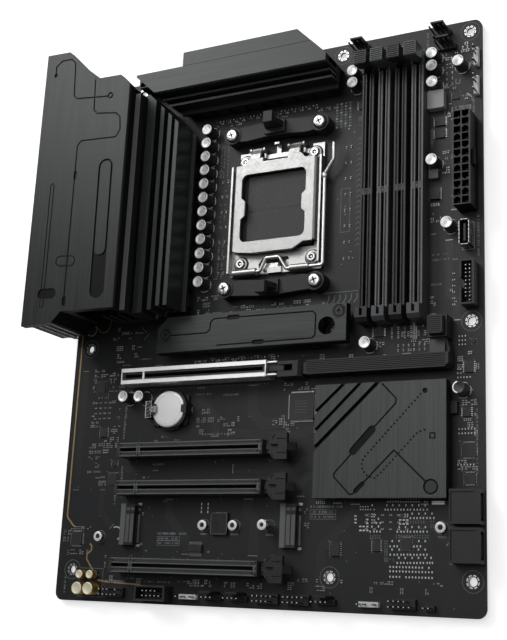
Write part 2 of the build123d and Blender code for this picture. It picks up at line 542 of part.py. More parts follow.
def dimm_latch(x):
    """Tongue between the cheeks, wide ribbed thumb pad, pivot and card hook."""
    thumb_pad = prism_x(THUMB_PAD, x - 3.35, x + 3.35)
    for k in range(6):
        thumb_pad -= box(x - 2.9, x + 2.9, 280.3 + k * 1.12, 280.8 + k * 1.12, 22.0, 23)
    latch = prism_x(TONGUE, x - 1.95, x + 1.95) + thumb_pad
    latch += cyl_x(x - 3.2, x + 3.2, DIMM_PIVOT_Y, DIMM_PIVOT_Z, 0.93)
    return latch + box(x - 0.7, x + 0.7, 280.4, 282.2, 13.6, 15.2)


for i, x in enumerate(DIMM_X, 1):
    save("dimm_slot_%d" % i, dimm_slot(x))
    save("dimm_latch_%d" % i, dimm_latch(x))


# ---------------------------------------------------------------- expansion slots
def pcie_slot(y, has_cheeks):
    slot = box(PCIE_X0, PCIE_X1, y - PCIE_W / 2, y + PCIE_W / 2, SEAT, PCIE_H)
    # card groove with one key, and a shallow channel on each side
    slot -= box(PCIE_X0 + 1.8, PCIE_X1 - 1.6, y - 0.95, y + 0.95, 2.4, 14)
    slot += box(54.4, 56.2, y - 1.2, y + 1.2, 2.4, PCIE_H)
    for side in (-1, 1):
        for x0, x1 in ((PCIE_X0 + 2.2, 53.6), (57.0, PCIE_X1 - 2.4)):
            slot -= box(x0, x1, y + side * 1.9, y + side * 2.8, PCIE_H - 0.9, 14)
    if has_cheeks:
        for side in (-1, 1):
            slot += box(PCIE_X1 - 0.5, PCIE_PIVOT_X + 1.9, y + side * 1.65, y + side * 3.1,
                        SEAT, 6.4)
        slot += box(PCIE_X1 - 0.5, PCIE_X1 + 1.2, y - 3.1, y + 3.1, SEAT, 5.0)
        slot -= cyl_y(PCIE_PIVOT_X, y - 5, y + 5, PCIE_PIVOT_Z, 0.95)
    return slot


def pcie_latch(y):
    """Stem, slotted wing and sloping nose on a pivot."""
    latch = prism_y([(134.2, 2.6), (136.9, 2.6), (137.2, 8.6), (133.9, 8.9), (131.7, 8.9),
                     (131.7, 7.6), (133.6, 6.4)], y - 1.4, y + 1.4)
    wing = prism([(134.3, y - 3.3), (137.2, y - 6.7), (144.4, y - 6.7), (144.4, y + 6.7),
                  (137.2, y + 6.7), (134.3, y + 3.3)], 8.6, 11.0)
    wing -= box(130, 139.4, y - 0.95, y + 0.95, 9.2, 12)
    for side in (-1, 1):
        wing -= groove([(137.4, y + side * 5.6), (136.2, y + side * 3.9)], 0.6, 10.6, 12)
        line_y = y + side * 3.6
        wing -= box(139.0, 144.6, line_y - 0.25, line_y + 0.25, 10.5, 12)
    latch += wing
    latch += prism_y([(144.0, 8.6), (144.4, 11.0), (147.6, 6.8), (147.6, 5.8), (146.8, 5.8)],
                     y - 2.0, y + 2.0)
    return latch + cyl_y(PCIE_PIVOT_X, y - 2.9, y + 2.9, PCIE_PIVOT_Z, 0.88)


for i, y in enumerate(PCIE_Y, 1):
    save("pcie_slot_%d" % i, pcie_slot(y, has_cheeks=i > 1))
    if i > 1:
        save("pcie_latch_%d" % i, pcie_latch(y))

# steel armour folded over the first slot, with two rails towards its latch
ARMOUR_GAP, ARMOUR_OUT = 0.04, 0.6     # inner gap and outer reach past the slot's ends
ARMOUR_Z0, LIP_Z, ARMOUR_Z1 = 0.8, 11.25, 11.85
ARMOUR_X0, ARMOUR_X1 = PCIE_X0 - ARMOUR_OUT, PCIE_X1 + ARMOUR_OUT
INNER_HALF, OUTER_HALF = PCIE_W / 2 + ARMOUR_GAP, PCIE_W / 2 + 0.62
y0, y1 = SLOT1_Y - OUTER_HALF, SLOT1_Y + OUTER_HALF
armour = box(ARMOUR_X0, ARMOUR_X1, y0, SLOT1_Y - INNER_HALF, ARMOUR_Z0, ARMOUR_Z1)
armour += box(ARMOUR_X0, ARMOUR_X1, SLOT1_Y + INNER_HALF, y1, ARMOUR_Z0, ARMOUR_Z1)
armour += box(ARMOUR_X0, ARMOUR_X1, y0, SLOT1_Y - 2.1, LIP_Z, ARMOUR_Z1)
armour += box(ARMOUR_X0, ARMOUR_X1, SLOT1_Y + 2.1, y1, LIP_Z, ARMOUR_Z1)
armour += box(ARMOUR_X0, PCIE_X0 - ARMOUR_GAP, y0, y1, ARMOUR_Z0, ARMOUR_Z1)
armour += box(PCIE_X1 + ARMOUR_GAP, ARMOUR_X1, y0, y1, ARMOUR_Z0, ARMOUR_Z1)
# bridge between the short and the long contact rows
armour += box(54.9, 56.1, SLOT1_Y - 2.3, SLOT1_Y + 2.3, LIP_Z, ARMOUR_Z1)
for side in (-1, 1):
    armour += box(PCIE_X1 + 0.5, 136.7, SLOT1_Y + side * 2.9, SLOT1_Y + side * 3.7, 7.5, 10.6)
# row of small windows down each long side
for k in range(5):
    x = 48.0 + 19.2 * k
    armour -= box(x, x + 5.2, SLOT1_Y - PCIE_W / 2 - 2, SLOT1_Y + PCIE_W / 2 + 2, 4.2, 7.0)
save("pcie_armour", armour)

# ---------------------------------------------------------------- first slot's quick release
# latch block, long rod cover, widening shoulder and button tower
release = box(136.8, 150.5, 116.2, 124.4, SEAT, 10.2)
release -= box(136.0, 145.4, SLOT1_Y - 1.7, SLOT1_Y + 1.7, 0.8, 12)
release -= prism_y([(150.6, 10.3), (150.6, 7.6), (148.4, 10.3)], 110, 130)
release -= cyl_y(SLOT1_PIVOT_X, SLOT1_Y - 3.6, SLOT1_Y + 3.6, SLOT1_PIVOT_Z, 0.95)
release += box(150.4, 153.4, 117.6, 123.6, SEAT, 7.6)
release += prism([(153.2, 116.8), (226.8, 116.8), (228.8, 118.8), (228.8, 124.1),
                  (153.2, 124.1)], SEAT, 10.0)
release += prism([(217.0, 124.0), (228.8, 124.0), (228.6, 126.5), (227.0, 132.0),
                  (227.0, 133.0), (218.9, 133.0), (218.9, 131.0)], SEAT, 7.4)
release += prism_x([(124.0, 9.8), (133.4, 8.0), (133.4, 7.0), (124.0, 7.0)], 219.2, 226.9)
release += box(218.3, 227.9, 131.8, 142.8, SEAT, 9.6)
# cavities: rod channel, foot chamber and button well
release -= box(145.0, 228.0, 119.0, 122.8, 0.5, 3.9)
release -= box(218.9, 227.3, 121.0, 141.0, 0.5, 5.2)
release += box(218.9, 227.3, 121.0, 124.0, 3.9, 5.2)
release -= box(219.1, 227.1, 132.5, 142.1, 4.6, 12)
# fine grooves along the rod cover
for k in range(7):
    y = 117.5 + k * 0.92
    release -= box(153.0, 227.2, y, y + 0.38, 9.6, 12)
save("release_housing", release)

latch = prism_y([(138.0, 1.6), (140.0, 1.6), (140.3, 9.6), (136.4, 9.9), (132.0, 9.9),
                 (132.0, 8.4), (136.0, 7.6), (137.6, 5.6)], SLOT1_Y - 1.4, SLOT1_Y + 1.4)
latch += cyl_y(SLOT1_PIVOT_X, SLOT1_Y - 3.3, SLOT1_Y + 3.3, SLOT1_PIVOT_Z, 0.88)
save("pcie_latch_1", latch)

# rod with a thinned tip at the latch and a foot under the button
rod = box(141.8, 224.0, 119.6, 122.2, 1.0, 3.4)
rod -= box(141.0, 142.6, 119.0, 123.0, 2.7, 4)
rod -= box(141.0, 142.6, 119.0, 123.0, 0.8, 1.5)
rod += box(140.15, 142.7, 119.9, 121.9, 1.55, 2.65)
rod += box(220.2, 222.05, 121.5, 138.6, 1.0, 3.2)
rod += box(220.2, 222.05, 135.2, 138.6, 3.1, 4.5)
save("release_rod", rod)

# button: ribbed cap, wedge below it and two end skirts
button = rbox(219.3, 226.9, 132.7, 141.9, 9.9, 14.0, 1.1)
for k in range(8):
    y = 133.4 + k * 1.02
    button -= box(218.9, 226.2, y, y + 0.45, 13.6, 15)
button += prism_y([(222.25, 4.5), (224.0, 4.5), (225.2, 6.0), (225.2, 10.0), (220.9, 10.0),
                   (220.9, 7.9)], 135.4, 138.4)
for y in (132.9, 140.6):
    button += box(219.5, 226.7, y, y + 1.1, 7.9, 10.0)
save("release_button", button)

# ---------------------------------------------------------------- storage
m2_sink = prism([(63.2, 132.1), (176.0, 132.1), (176.0, 152.4), (69.4, 152.4), (63.2, 146.4)],
                7.0, M2_TOP)
m2_sink -= cyl(*HOLES[4], 4.7, 6, 14)
m2_sink -= prism_x([(131.9, M2_TOP + 0.01), (131.9, M2_TOP - 0.7), (132.8, M2_TOP + 0.01)],
                   60, 180)
for (x, y) in M2_SCREWS:
    m2_sink -= cyl(x, y, 2.7, 10.4, 14)
    m2_sink -= cyl(x, y, 1.2, 6, 14)
    m2_sink -= ring(x, y, 3.5, 3.1, M2_TOP - 0.3, 14)
# engraved run with two wider pads
m2_sink -= groove([(72.4, 142.0), (94.6, 142.0), (96.6, 144.0), (96.6, 147.6), (98.6, 149.5),
                   (157.2, 149.1), (158.9, 147.4), (158.9, 136.6), (157.2, 134.9),
                   (101.4, 134.7)], 0.75, M2_TOP - 0.5, M2_TOP + 1)
for path in ([(107.8, 149.5), (113.2, 149.5)], [(123.6, 134.9), (128.4, 134.9)]):
    m2_sink -= groove(path, 2.5, M2_TOP - 0.7, M2_TOP + 1)
save("m2_heatsink", m2_sink)


def m2_socket(x, y, facing):
    """Edge socket; the mouth faces +x or -x."""
    body = box(x - 3.6, x + 3.6, y - 10.9, y + 10.9, SEAT, 4.3)
    return body - box(x + facing * 4.6, x - facing * 0.6, y - 10.1, y + 10.1, 2.0, 3.2)


save("m2_connectors", m2_socket(155.0, 142.6, -1), m2_socket(47.5, 41.0, 1),
     m2_socket(144.0, 41.0, 1))

# tall standoffs under the heatsink screws, short ones elsewhere, one capped post
standoffs = [hexagon(x, y, 4.6, SEAT, 6.98) - cyl(x, y, 1.0, 3.6, 8) for x, y in M2_SCREWS]
for (x, y) in ((92.5, 41.0), (110.6, 41.0), (222.5, 41.0), (27.0, 34.5)):
    standoffs.append(hexagon(x, y, 4.6, SEAT, 2.4) - cyl(x, y, 1.0, 0.8, 4))
capped = hexagon(131.0, 41.0, 5.0, SEAT, 7.2) + cyl(131.0, 41.0, 2.6, 7.2, 8.9)
standoffs.append(cut_cross(capped, 131.0, 41.0, 1.6, 0.3, 8.1, 10))
save("m2_standoffs", *standoffs)

# ---------------------------------------------------------------- chipset
save("chipset", rbox(180.5, 205.5, 69.5, 94.5, SEAT, 1.6, 0.4))

LINE_Z, OVER_Z = CHIPSET_TOP - 0.5, CHIPSET_TOP + 1
# depth below LINE_Z, width, path
CHIPSET_GROOVES = [
    (1.9, 1.7, [(175.6, 111.7), (158.4, 96.1)]),
    (1.9, 1.7, [(184.0, 111.3), (158.4, 86.6)]),
    (1.9, 2.0, [(193.6, 111.4), (158.2, 77.7)]),
    (0, 0.8, [(195.2, 109.6), (202.3, 102.2), (202.3, 99.8), (190.8, 88.0)]),
    (0.3, 4.0, [(190.0, 87.2), (180.2, 76.8)]),
    (0, 0.8, [(179.6, 75.6), (170.3, 65.9), (170.3, 64.3), (178.9, 55.7), (180.4, 55.8),
              (201.6, 76.8), (217.4, 62.0)]),
    (0.3, 2.3, [(182.0, 57.4), (185.6, 60.9)])]
chipset_sink = box(158.9, 227.8, 54.0, 110.7, 3.0, CHIPSET_TOP)
for depth, width, path in CHIPSET_GROOVES:
    chipset_sink -= groove(path, width, LINE_Z - depth, OVER_Z)
# dots at an even pitch along a bent path
DOT_PATH = [(215.0, 103.7), (187.0, 74.4), (185.0, 71.4), (185.5, 67.5), (188.4, 64.2),
            (191.9, 63.5), (195.6, 66.6), (213.4, 85.0), (217.8, 86.5)]
DOT_PITCH, DOT_R = 2.15, 0.5
travel = 0.0
for (xa, ya), (xb, yb) in zip(DOT_PATH, DOT_PATH[1:]):
    length = math.hypot(xb - xa, yb - ya)
    while travel < length:
        part_way = travel / length
        chipset_sink -= cyl(xa + (xb - xa) * part_way, ya + (yb - ya) * part_way,
                            DOT_R, LINE_Z, OVER_Z)
        travel += DOT_PITCH
    travel -= length
# round pit, square outline and stepped round recess
chipset_sink -= cyl(217.2, 105.4, 1.3, LINE_Z - 0.4, OVER_Z)
chipset_sink -= (box(219.5, 222.5, 81.9, 84.9, LINE_Z, OVER_Z)
                 - box(220.1, 221.9, 82.5, 84.3, LINE_Z - 1, OVER_Z + 1))
chipset_sink -= (cyl(220.2, 59.2, 3.7, LINE_Z - 0.4, OVER_Z)
                 - cyl(220.2, 59.2, 2.9, LINE_Z - 1, LINE_Z + 0.3))
save("chipset_heatsink", add_bosses(chipset_sink, CHIPSET_SCREWS, 3.0, 3.1, 6))

# ---------------------------------------------------------------- battery
CELL_X, CELL_Y = 68.8, 102.8
save("coin_cell", cyl(CELL_X, CELL_Y, 10.0, 2.2, 5.4) + cyl(CELL_X, CELL_Y, 8.9, 2.0, 5.7))


def cell_box(x0, x1, y0, y1, z0, z1):
    """Box with x and y measured from the cell's centre."""
    return box(CELL_X + x0, CELL_X + x1, CELL_Y + y0, CELL_Y + y1, z0, z1)


# base, then a cup wall opened on three sides, then the two end clips
holder = rbox(CELL_X - 12.4, CELL_X + 10.8, CELL_Y - 8.4, CELL_Y + 8.4, SEAT, 1.9, 1.4)
holder += cyl(CELL_X, CELL_Y, 10.9, SEAT, 1.9)
holder += cyl(CELL_X, CELL_Y, 11.3, SEAT, 4.6) - cyl(CELL_X, CELL_Y, 10.15, 1.8, 6)
holder -= cell_box(-30, 2, -5.6, 5.6, 1.9, 8)
holder -= cell_box(-6, 6, 5, 30, 1.9, 8)
holder -= cell_box(-6, 6, -30, -5, 1.9, 8)
holder += cell_box(-13.4, -10.4, -4.6, 4.6, SEAT, 6.6)
holder += cell_box(-11.0, -7.6, -3.0, 3.0, 5.8, 6.5)
holder += cell_box(10.3, 12.0, -3.0, 3.0, SEAT, 6.6)
holder += cell_box(8.9, 10.6, -2.0, 2.0, 5.75, 6.6)
save("battery_holder", holder)


# ---------------------------------------------------------------- power sockets
def power_socket(x0, x1, y0, y1, columns, rows, latch):
    """Block of square wells, each with a round pin, plus its outside latch."""
    body = rbox(x0, x1, y0, y1, SEAT, POWER_H, 0.5)
    for i in range(columns):
        for j in range(rows):
            x = (x0 + x1) / 2 + (i - (columns - 1) / 2) * POWER_PITCH
            y = (y0 + y1) / 2 + (j - (rows - 1) / 2) * POWER_PITCH
            body -= box(x - 1.75, x + 1.75, y - 1.75, y + 1.75, 2.0, POWER_H + 1)
            body += cyl(x, y, 0.6, 1.5, POWER_H - 2.6)
    return body + latch


latch = prism_y([(240.9, 4.0), (242.6, 9.0), (242.6, 10.2), (240.9, 10.2)], 219.0, 227.2)
save("atx_connector", power_socket(231.7, 241.0, 197.6, 248.6, 2, 12, latch))
eps = []
for x0 in (38.6, 57.0):
    latch = prism_x([(304.3, 4.0), (304.8, 6.0), (304.8, 9.0), (304.3, 9.0)],
                    x0 + 5.0, x0 + 12.0)
    eps.append(power_socket(x0, x0 + 17.6, 295.7, 304.4, 4, 2, latch))
eps[0] = eps[0] - cyl(*HOLES[2], 5.0, -1, 20)    # room round the mounting hole
save("eps_connectors", *eps)

# ---------------------------------------------------------------- internal headers
# tall two-row header along y with a notch in its rear wall and one pin missing
tall = rbox(234.2, 241.2, 147.4, 170.2, SEAT, 9.0, 0.5)
tall -= box(235.1, 240.3, 148.3, 169.3, 1.4, 10)
tall -= box(233.6, 235.4, 156.4, 161.2, 3.6, 10)
for j in range(10):
    for x in (236.7, 238.7):
        if (j, x) != (0, 236.7):
            tall += cyl(x, 149.8 + j * 2.0, 0.3, 1.2, 7.2)

# rounded shell round one flat tongue
tongued = rbox(233.4, 238.6, 178.4, 191.6, SEAT, 7.6, 0.9)
tongued -= rbox(233.9, 238.1, 178.9, 191.1, 1.4, 9, 0.6)
tongued += box(235.5, 236.5, 180.4, 189.6, 1.2, 6.6)

# shrouded header at the lower edge, five by two with one pin missing
SHROUD_X0, SHROUD_X1, SHROUD_Y0, SHROUD_Y1 = 57.4, 75.6, 1.6, 9.2
shrouded = box(SHROUD_X0, SHROUD_X1, SHROUD_Y0, SHROUD_Y1, SEAT, 8.6)
shrouded -= box(SHROUD_X0 + 0.9, SHROUD_X1 - 0.9, SHROUD_Y0 + 0.9, SHROUD_Y1 - 0.9, 1.6, 10)
for k in range(5):
    for row in (-1, 1):
        if (k, row) != (4, 1):
            x = (SHROUD_X0 + SHROUD_X1) / 2 + (k - 2) * PIN_PITCH
            y = (SHROUD_Y0 + SHROUD_Y1) / 2 + row * PIN_PITCH / 2
            shrouded += box(x - 0.3, x + 0.3, y - 0.3, y + 0.3, 1.5, 7.4)
save("usb_headers", tall, tongued, shrouded)


def pins(x0, y0, columns, rows, missing=None, top=8.4):
    """Bare pins on a moulded strip; (x0, y0) is the first pin."""
    header = box(x0 - 1.25, x0 + (columns - 1) * PIN_PITCH + 1.25,
                 y0 - 1.25, y0 + (rows - 1) * PIN_PITCH + 1.25, SEAT, 2.5)
    for i in range(columns):
        for j in range(rows):
            if (i, j) != missing:
                x, y = x0 + i * PIN_PITCH, y0 + j * PIN_PITCH
                header += box(x - 0.32, x + 0.32, y - 0.32, y + 0.32, 2.4, top)
    return header


def fan_header(x0, y0):
    """Four pins with a guide wall on the +y side."""
    header = pins(x0, y0, 4, 1, top=11.4)
    header += box(x0 + 0.4, x0 + 7.2, y0, y0 + 3.0, SEAT, 2.5)
    return header + box(x0 + 0.4, x0 + 7.2, y0 + 2.0, y0 + 3.0, SEAT, 10.4)


FAN_XY = [(172.8, 299.4), (218.6, 299.4), (221.4, 290.7), (97.0, 4.6), (112.0, 4.6), (160.5, 4.6)]
# x, y, columns, rows, missing pin
PIN_ROWS = [(241.2, 278.4, 1, 4, (0, 1)), (241.2, 262.2, 1, 4, (0, 1)),
            (34.5, 4.0, 5, 2, (3, 1)), (82.4, 4.4, 4, 1, (2, 0)),
            (127.0, 3.8, 5, 2, (4, 0)), (144.0, 3.8, 5, 2, (4, 0)),
            (183.0, 4.4, 4, 1, (2, 0)), (199.0, 3.8, 5, 2, (4, 1)), (216.0, 3.8, 2, 1, None)]
save("pin_headers", *[fan_header(*place) for place in FAN_XY], *[pins(*row) for row in PIN_ROWS])

# serial storage sockets on the front edge, mouths outward
sata = []
for y0, y1 in ((24.4, 40.6), (42.2, 58.4)):
    socket = box(228.6, 243.4, y0, y1, SEAT, 8.6)
    socket -= box(229.4, 241.0, y0 + 1.2, y1 - 1.2, 8.0, 9)
    socket -= box(236.0, 244.0, y0 + 1.6, y1 - 1.6, 1.6, 7.0)
    socket += box(236.0, 242.6, y0 + 3.0, y1 - 3.0, 2.6, 3.8)
    sata.append(socket)
save("sata_ports", *sata)

# ---------------------------------------------------------------- packaged chips
# centre x, centre y, size in x, size in y, top
CHIPS = [
    (147.3, 102.0, 14.0, 14.0, 1.4), (11.7, 33.3, 7.0, 7.0, 1.0), (221.2, 249.4, 5.6, 5.0, 1.1),
    (221.2, 242.6, 5.6, 5.0, 1.1), (218.6, 209.4, 5.4, 6.4, 2.2), (236.2, 118.0, 4.6, 5.6, 1.0),
    (236.0, 77.5, 7.2, 7.2, 0.9), (236.4, 64.0, 5.6, 5.6, 0.9), (228.6, 98.0, 4.6, 6.0, 3.0),
    (235.0, 96.0, 4.0, 4.6, 1.0), (88.0, 29.6, 5.0, 3.2, 1.0), (20.0, 118.0, 6.0, 6.0, 0.9),
    (24.0, 92.0, 4.6, 5.0, 0.9), (189.0, 138.4, 5.6, 4.6, 0.9), (205.0, 33.4, 5.6, 5.6, 0.9),
    (189.6, 32.0, 4.0, 5.0, 0.9), (32.4, 66.0, 6.0, 6.0, 0.9), (33.0, 74.4, 3.2, 2.5, 0.8),
    (168.0, 30.0, 5.0, 6.2, 1.6), (89.0, 150.6, 4.0, 4.0, 0.9), (229.6, 262.6, 4.0, 4.0, 0.9),
    (176.6, 266.0, 3.0, 4.0, 0.9), (150.0, 128.8, 6.0, 1.6, 0.6), (238.6, 130.6, 1.6, 1.6, 0.7)]
save("chips", *[rbox(x - dx / 2, x + dx / 2, y - dy / 2, y + dy / 2, 0.06, top, min(dx, dy) * 0.06)
                for x, y, dx, dy, top in CHIPS])

# ---------------------------------------------------------------- small passives
# first x, first y, columns, rows, pitch x, pitch y, size x, size y, top
FIELDS = [(90.0, 269.6, 14, 1, 4.6, 0, 2.0, 1.2, 0.9),
          (196.0, 135.4, 4, 3, 3.4, 2.2, 1.0, 1.6, 0.6),
          (199.4, 128.4, 6, 2, 2.8, 2.4, 0.8, 1.4, 0.6),
          (17.0, 100.0, 4, 4, 3.2, 3.0, 1.6, 0.8, 0.6),
          (228.4, 150.0, 1, 6, 0, 3.2, 1.6, 0.8, 0.6),
          (184.0, 40.0, 6, 3, 4.2, 3.4, 1.6, 0.8, 0.6),
          (224.8, 270.0, 2, 4, 3.0, 3.2, 0.8, 1.6, 0.6),
          (92.6, 170.0, 2, 8, 3.2, 9.0, 0.8, 1.6, 0.8),
          (168.4, 180.0, 2, 8, 3.0, 9.0, 0.8, 1.6, 0.8)]
passives = []
for x0, y0, columns, rows, pitch_x, pitch_y, dx, dy, top in FIELDS:
    for i in range(columns):
        for j in range(rows):
            x, y = x0 + i * pitch_x, y0 + j * pitch_y
            passives.append(box(x - dx / 2, x + dx / 2, y - dy / 2, y + dy / 2, SEAT, top))
save("smd_parts", *passives)
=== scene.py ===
"""A computer mainboard lying flat, component side up, detailed over its CAD pieces.

Lengths are board millimetres: x runs from the rear edge to the front edge, y from the lower
edge upwards, z up from the component face. place() turns them into the frame's metres.
Materials, lights and camera are in metres.
"""
import bpy
import bmesh
import math
import random
from mathutils import Vector, Matrix


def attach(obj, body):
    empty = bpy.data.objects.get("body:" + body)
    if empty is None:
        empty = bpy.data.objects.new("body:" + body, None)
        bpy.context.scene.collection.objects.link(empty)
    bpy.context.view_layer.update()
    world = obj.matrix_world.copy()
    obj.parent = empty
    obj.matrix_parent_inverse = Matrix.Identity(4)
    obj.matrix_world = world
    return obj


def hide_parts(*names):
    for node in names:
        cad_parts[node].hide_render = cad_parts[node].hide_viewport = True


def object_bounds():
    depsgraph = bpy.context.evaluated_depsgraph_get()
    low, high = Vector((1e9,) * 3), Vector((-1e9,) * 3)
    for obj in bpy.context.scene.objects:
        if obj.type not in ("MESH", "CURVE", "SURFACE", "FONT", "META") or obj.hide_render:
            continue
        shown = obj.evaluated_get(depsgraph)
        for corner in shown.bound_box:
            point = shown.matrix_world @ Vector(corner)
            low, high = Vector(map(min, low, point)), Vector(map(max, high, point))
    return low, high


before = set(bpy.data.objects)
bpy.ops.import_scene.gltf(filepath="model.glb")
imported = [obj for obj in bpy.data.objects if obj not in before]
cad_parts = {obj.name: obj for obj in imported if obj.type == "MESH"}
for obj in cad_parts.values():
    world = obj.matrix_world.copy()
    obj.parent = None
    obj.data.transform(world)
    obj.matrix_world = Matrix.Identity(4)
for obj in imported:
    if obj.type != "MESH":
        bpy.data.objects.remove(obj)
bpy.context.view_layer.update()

ORIGIN_X, ORIGIN_Y = 10.16, 16.51   # lower rear mounting hole, the frame's origin
BOARD_T = 1.6                       # board thickness; the frame's z = 0 is its underside
POWER_TOP = 12.8                    # top of the power sockets
SUNK = -0.02                        # flat marks start just inside the board
INK_TOP = 0.03                      # top of the printed marks


def place(x, y, z):
    return (x - ORIGIN_X) / 1000, (y - ORIGIN_Y) / 1000, (z + BOARD_T) / 1000


# --- Shader nodes ---
MATERIALS = {}


class Nodes:
    """The node tree of a material or world, with short calls for the nodes used here."""

    def __init__(self, owner):
        owner.use_nodes = True
        self.tree = owner.node_tree
        self.tree.nodes.clear()

    def fill(self, node, inputs):
        """Link sockets and set plain values; colours are given without alpha."""
        for key, value in inputs.items():
            socket = node.inputs[key]
            if isinstance(value, bpy.types.NodeSocket):
                self.tree.links.new(value, socket)
            elif socket.type == "RGBA":
                socket.default_value = (*value, 1)
            else:
                socket.default_value = value

    def node(self, kind, inputs=None, **settings):
        node = self.tree.nodes.new("ShaderNode" + kind)
        for key, value in settings.items():
            setattr(node, key, value)
        self.fill(node, inputs or {})
        return node

    def shade(self, inputs):
        self.fill(self.surface, inputs)

    def object_coords(self):
        return self.node("TexCoord").outputs["Object"]

    def coords(self, scale=(1, 1, 1)):
        return self.node("Mapping", {"Scale": scale, "Vector": self.object_coords()}).outputs[0]

    def noise(self, scale, detail=3.0, rough=0.6):
        """Noise in cycles per metre, one number or one for each axis."""
        if not isinstance(scale, tuple):
            scale = (scale, scale, scale)
        return self.node("TexNoise", {"Scale": 1.0, "Detail": detail, "Roughness": rough,
                                      "Vector": self.coords(scale)}).outputs["Fac"]

    def remap(self, value, source, target):
        return self.node("MapRange", {
            "Value": value, "From Min": source[0], "From Max": source[1],
            "To Min": target[0], "To Max": target[1]}).outputs[0]

    def math(self, operation, *values):
        return self.node("Math", dict(enumerate(values)), operation=operation).outputs[0]

    def times(self, a, b):
        return self.math("MULTIPLY", a, b)

    def plus(self, a, b):
        return self.math("ADD", a, b)

    def mix(self, factor, a, b):
        """Colour mix: sockets 6 and 7 are the colours, output 2 the result."""
        return self.node("Mix", {0: factor, 6: a, 7: b}, data_type="RGBA").outputs[2]

    def bevel(self, radius):
        return self.node("Bevel", {"Radius": radius}, samples=4).outputs[0]

    def bump(self, height, strength, distance, edge=0.0):
        """Height to normal, over rounded edges where edge is a radius."""
        bump = self.node("Bump", {"Strength": strength, "Distance": distance, "Height": height})
        if edge > 0:
            self.fill(bump, {"Normal": self.bevel(edge)})
        self.shade({"Normal": bump.outputs[0]})

    def edges(self, radius):
        """1 along edges, 0 on flats."""
        normal = self.node("NewGeometry").outputs["Normal"]
        dot = self.node("VectorMath", {0: self.bevel(radius), 1: normal}, operation="DOT_PRODUCT")
        return self.remap(dot.outputs["Value"], (0.985, 0.80), (0.0, 1.0))

    def position(self):
        return self.node("SeparateXYZ", {0: self.object_coords()}).outputs

    def normal_z(self):
        normal = self.node("NewGeometry").outputs["True Normal"]
        return self.node("SeparateXYZ", {0: normal}).outputs[2]


def start(name):
    """A new material with only a principled surface."""
    MATERIALS[name] = bpy.data.materials.new(name)
    nodes = Nodes(MATERIALS[name])
    nodes.surface = nodes.node("BsdfPrincipled")
    nodes.node("OutputMaterial", {0: nodes.surface.outputs[0]})
    return nodes


def tint(color, factor, lift=0.0):
    return tuple(min(1, c * factor + lift) for c in color)


# --- Materials ---
MID = (0.3, 0.7)    # the span of a noise that does the work
UNIT = (0.0, 1.0)


def plastic(name, color, rough, grain, edge, edge_highlight):
    """Moulded plastic: fine texture, faint flow variation, edges lightened as a painted highlight.
    """
    nodes = start(name)
    fine = nodes.noise(5200)
    broad = nodes.noise(90, rough=0.5)
    base = nodes.mix(broad, tint(color, 0.82), tint(color, 1.22))
    # painted highlight: the colour is lightened along edges
    edge_glint = nodes.times(nodes.edges(edge), edge_highlight)
    nodes.shade({"Base Color": nodes.mix(edge_glint, base, tint(color, 1.9, lift=0.012)),
                 "Roughness": nodes.remap(fine, MID, (rough - 0.07, rough + 0.1)),
                 "Specular IOR Level": 0.45})
    nodes.bump(fine, strength=0.25 * grain, distance=0.00004, edge=edge)


def brushed(name, color, axis, rough, edge, top=None, dark=0.0, metallic=0.55):
    """Dyed aluminium brushed along one axis, with painted shade: side faces are darkened, and
    floors below the top height are painted darker and less reflective.
    """
    nodes = start(name)

    def grain(along, across, detail, rough):
        scale = (along, across, across) if axis == "x" else (across, along, across)
        return nodes.noise(scale, detail, rough)

    streaks = nodes.plus(nodes.times(grain(9.0, 2600.0, 5.0, 0.65), 0.55),
                         nodes.times(grain(27.0, 1092.0, 3.0, 0.6), 0.45))
    broad = nodes.noise(14, detail=2.0, rough=0.5)
    base = nodes.mix(nodes.remap(streaks, (0.36, 0.64), UNIT), tint(color, 0.75), tint(color, 1.5))
    base = nodes.mix(nodes.remap(broad, MID, (0.0, 0.35)), base, tint(color, 1.25))
    # painted highlight: the colour is lightened along edges
    base = nodes.mix(nodes.times(nodes.edges(edge), 0.4), base, tint(color, 2.6, lift=0.02))
    # painted shade: faces turned away from up are darkened
    side = nodes.remap(nodes.normal_z(), (0.55, 0.8), (1.0, 0.0))
    base = nodes.mix(nodes.times(side, 0.55), base, tint(color, 0.45))
    if top is None:
        nodes.shade({"Metallic": metallic})
    else:
        top = (top + BOARD_T) / 1000
        # painted shade: everything below the top height is darkened and loses its metallic
        # reflection
        below = nodes.remap(nodes.position()[2], (top - 0.00012, top - 0.0003), UNIT)
        base = nodes.mix(nodes.times(below, dark), base, (0.004, 0.004, 0.0045))
        nodes.shade({"Metallic": nodes.remap(below, UNIT, (metallic, 0.0)),
                     "Specular IOR Level": nodes.remap(below, UNIT, (0.5, 0.12))})
    tangent = nodes.node("Tangent", direction_type="RADIAL", axis=axis.upper())
    nodes.shade({"Base Color": base,
                 "Roughness": nodes.remap(streaks, MID, (rough - 0.08, rough + 0.14)),
                 "Anisotropic": 0.5, "Tangent": tangent.outputs[0]})
    nodes.bump(streaks, strength=0.18, distance=0.00003, edge=edge)


def metal(name, color, rough, metallic=1.0, scuff=0.35, edge=0.00012):
    """Plated metal with faint roll marks and scuffs."""
    nodes = start(name)
    fine = nodes.noise(900, detail=4.0)
    roll = nodes.noise((2600, 60, 900))
    base = nodes.mix(nodes.noise(60), tint(color, 0.86), tint(color, 1.08))
    base = nodes.mix(nodes.remap(fine, (0.55, 0.75), (0.0, scuff)), base, tint(color, 0.72))
    gloss = nodes.plus(nodes.remap(fine, MID, (rough * 0.75, rough * 1.3)),
                       nodes.remap(roll, (0.4, 0.7), (0.0, 0.08)))
    nodes.shade({"Base Color": base, "Roughness": gloss, "Metallic": metallic})
    nodes.bump(roll, strength=0.12, distance=0.00003, edge=edge)


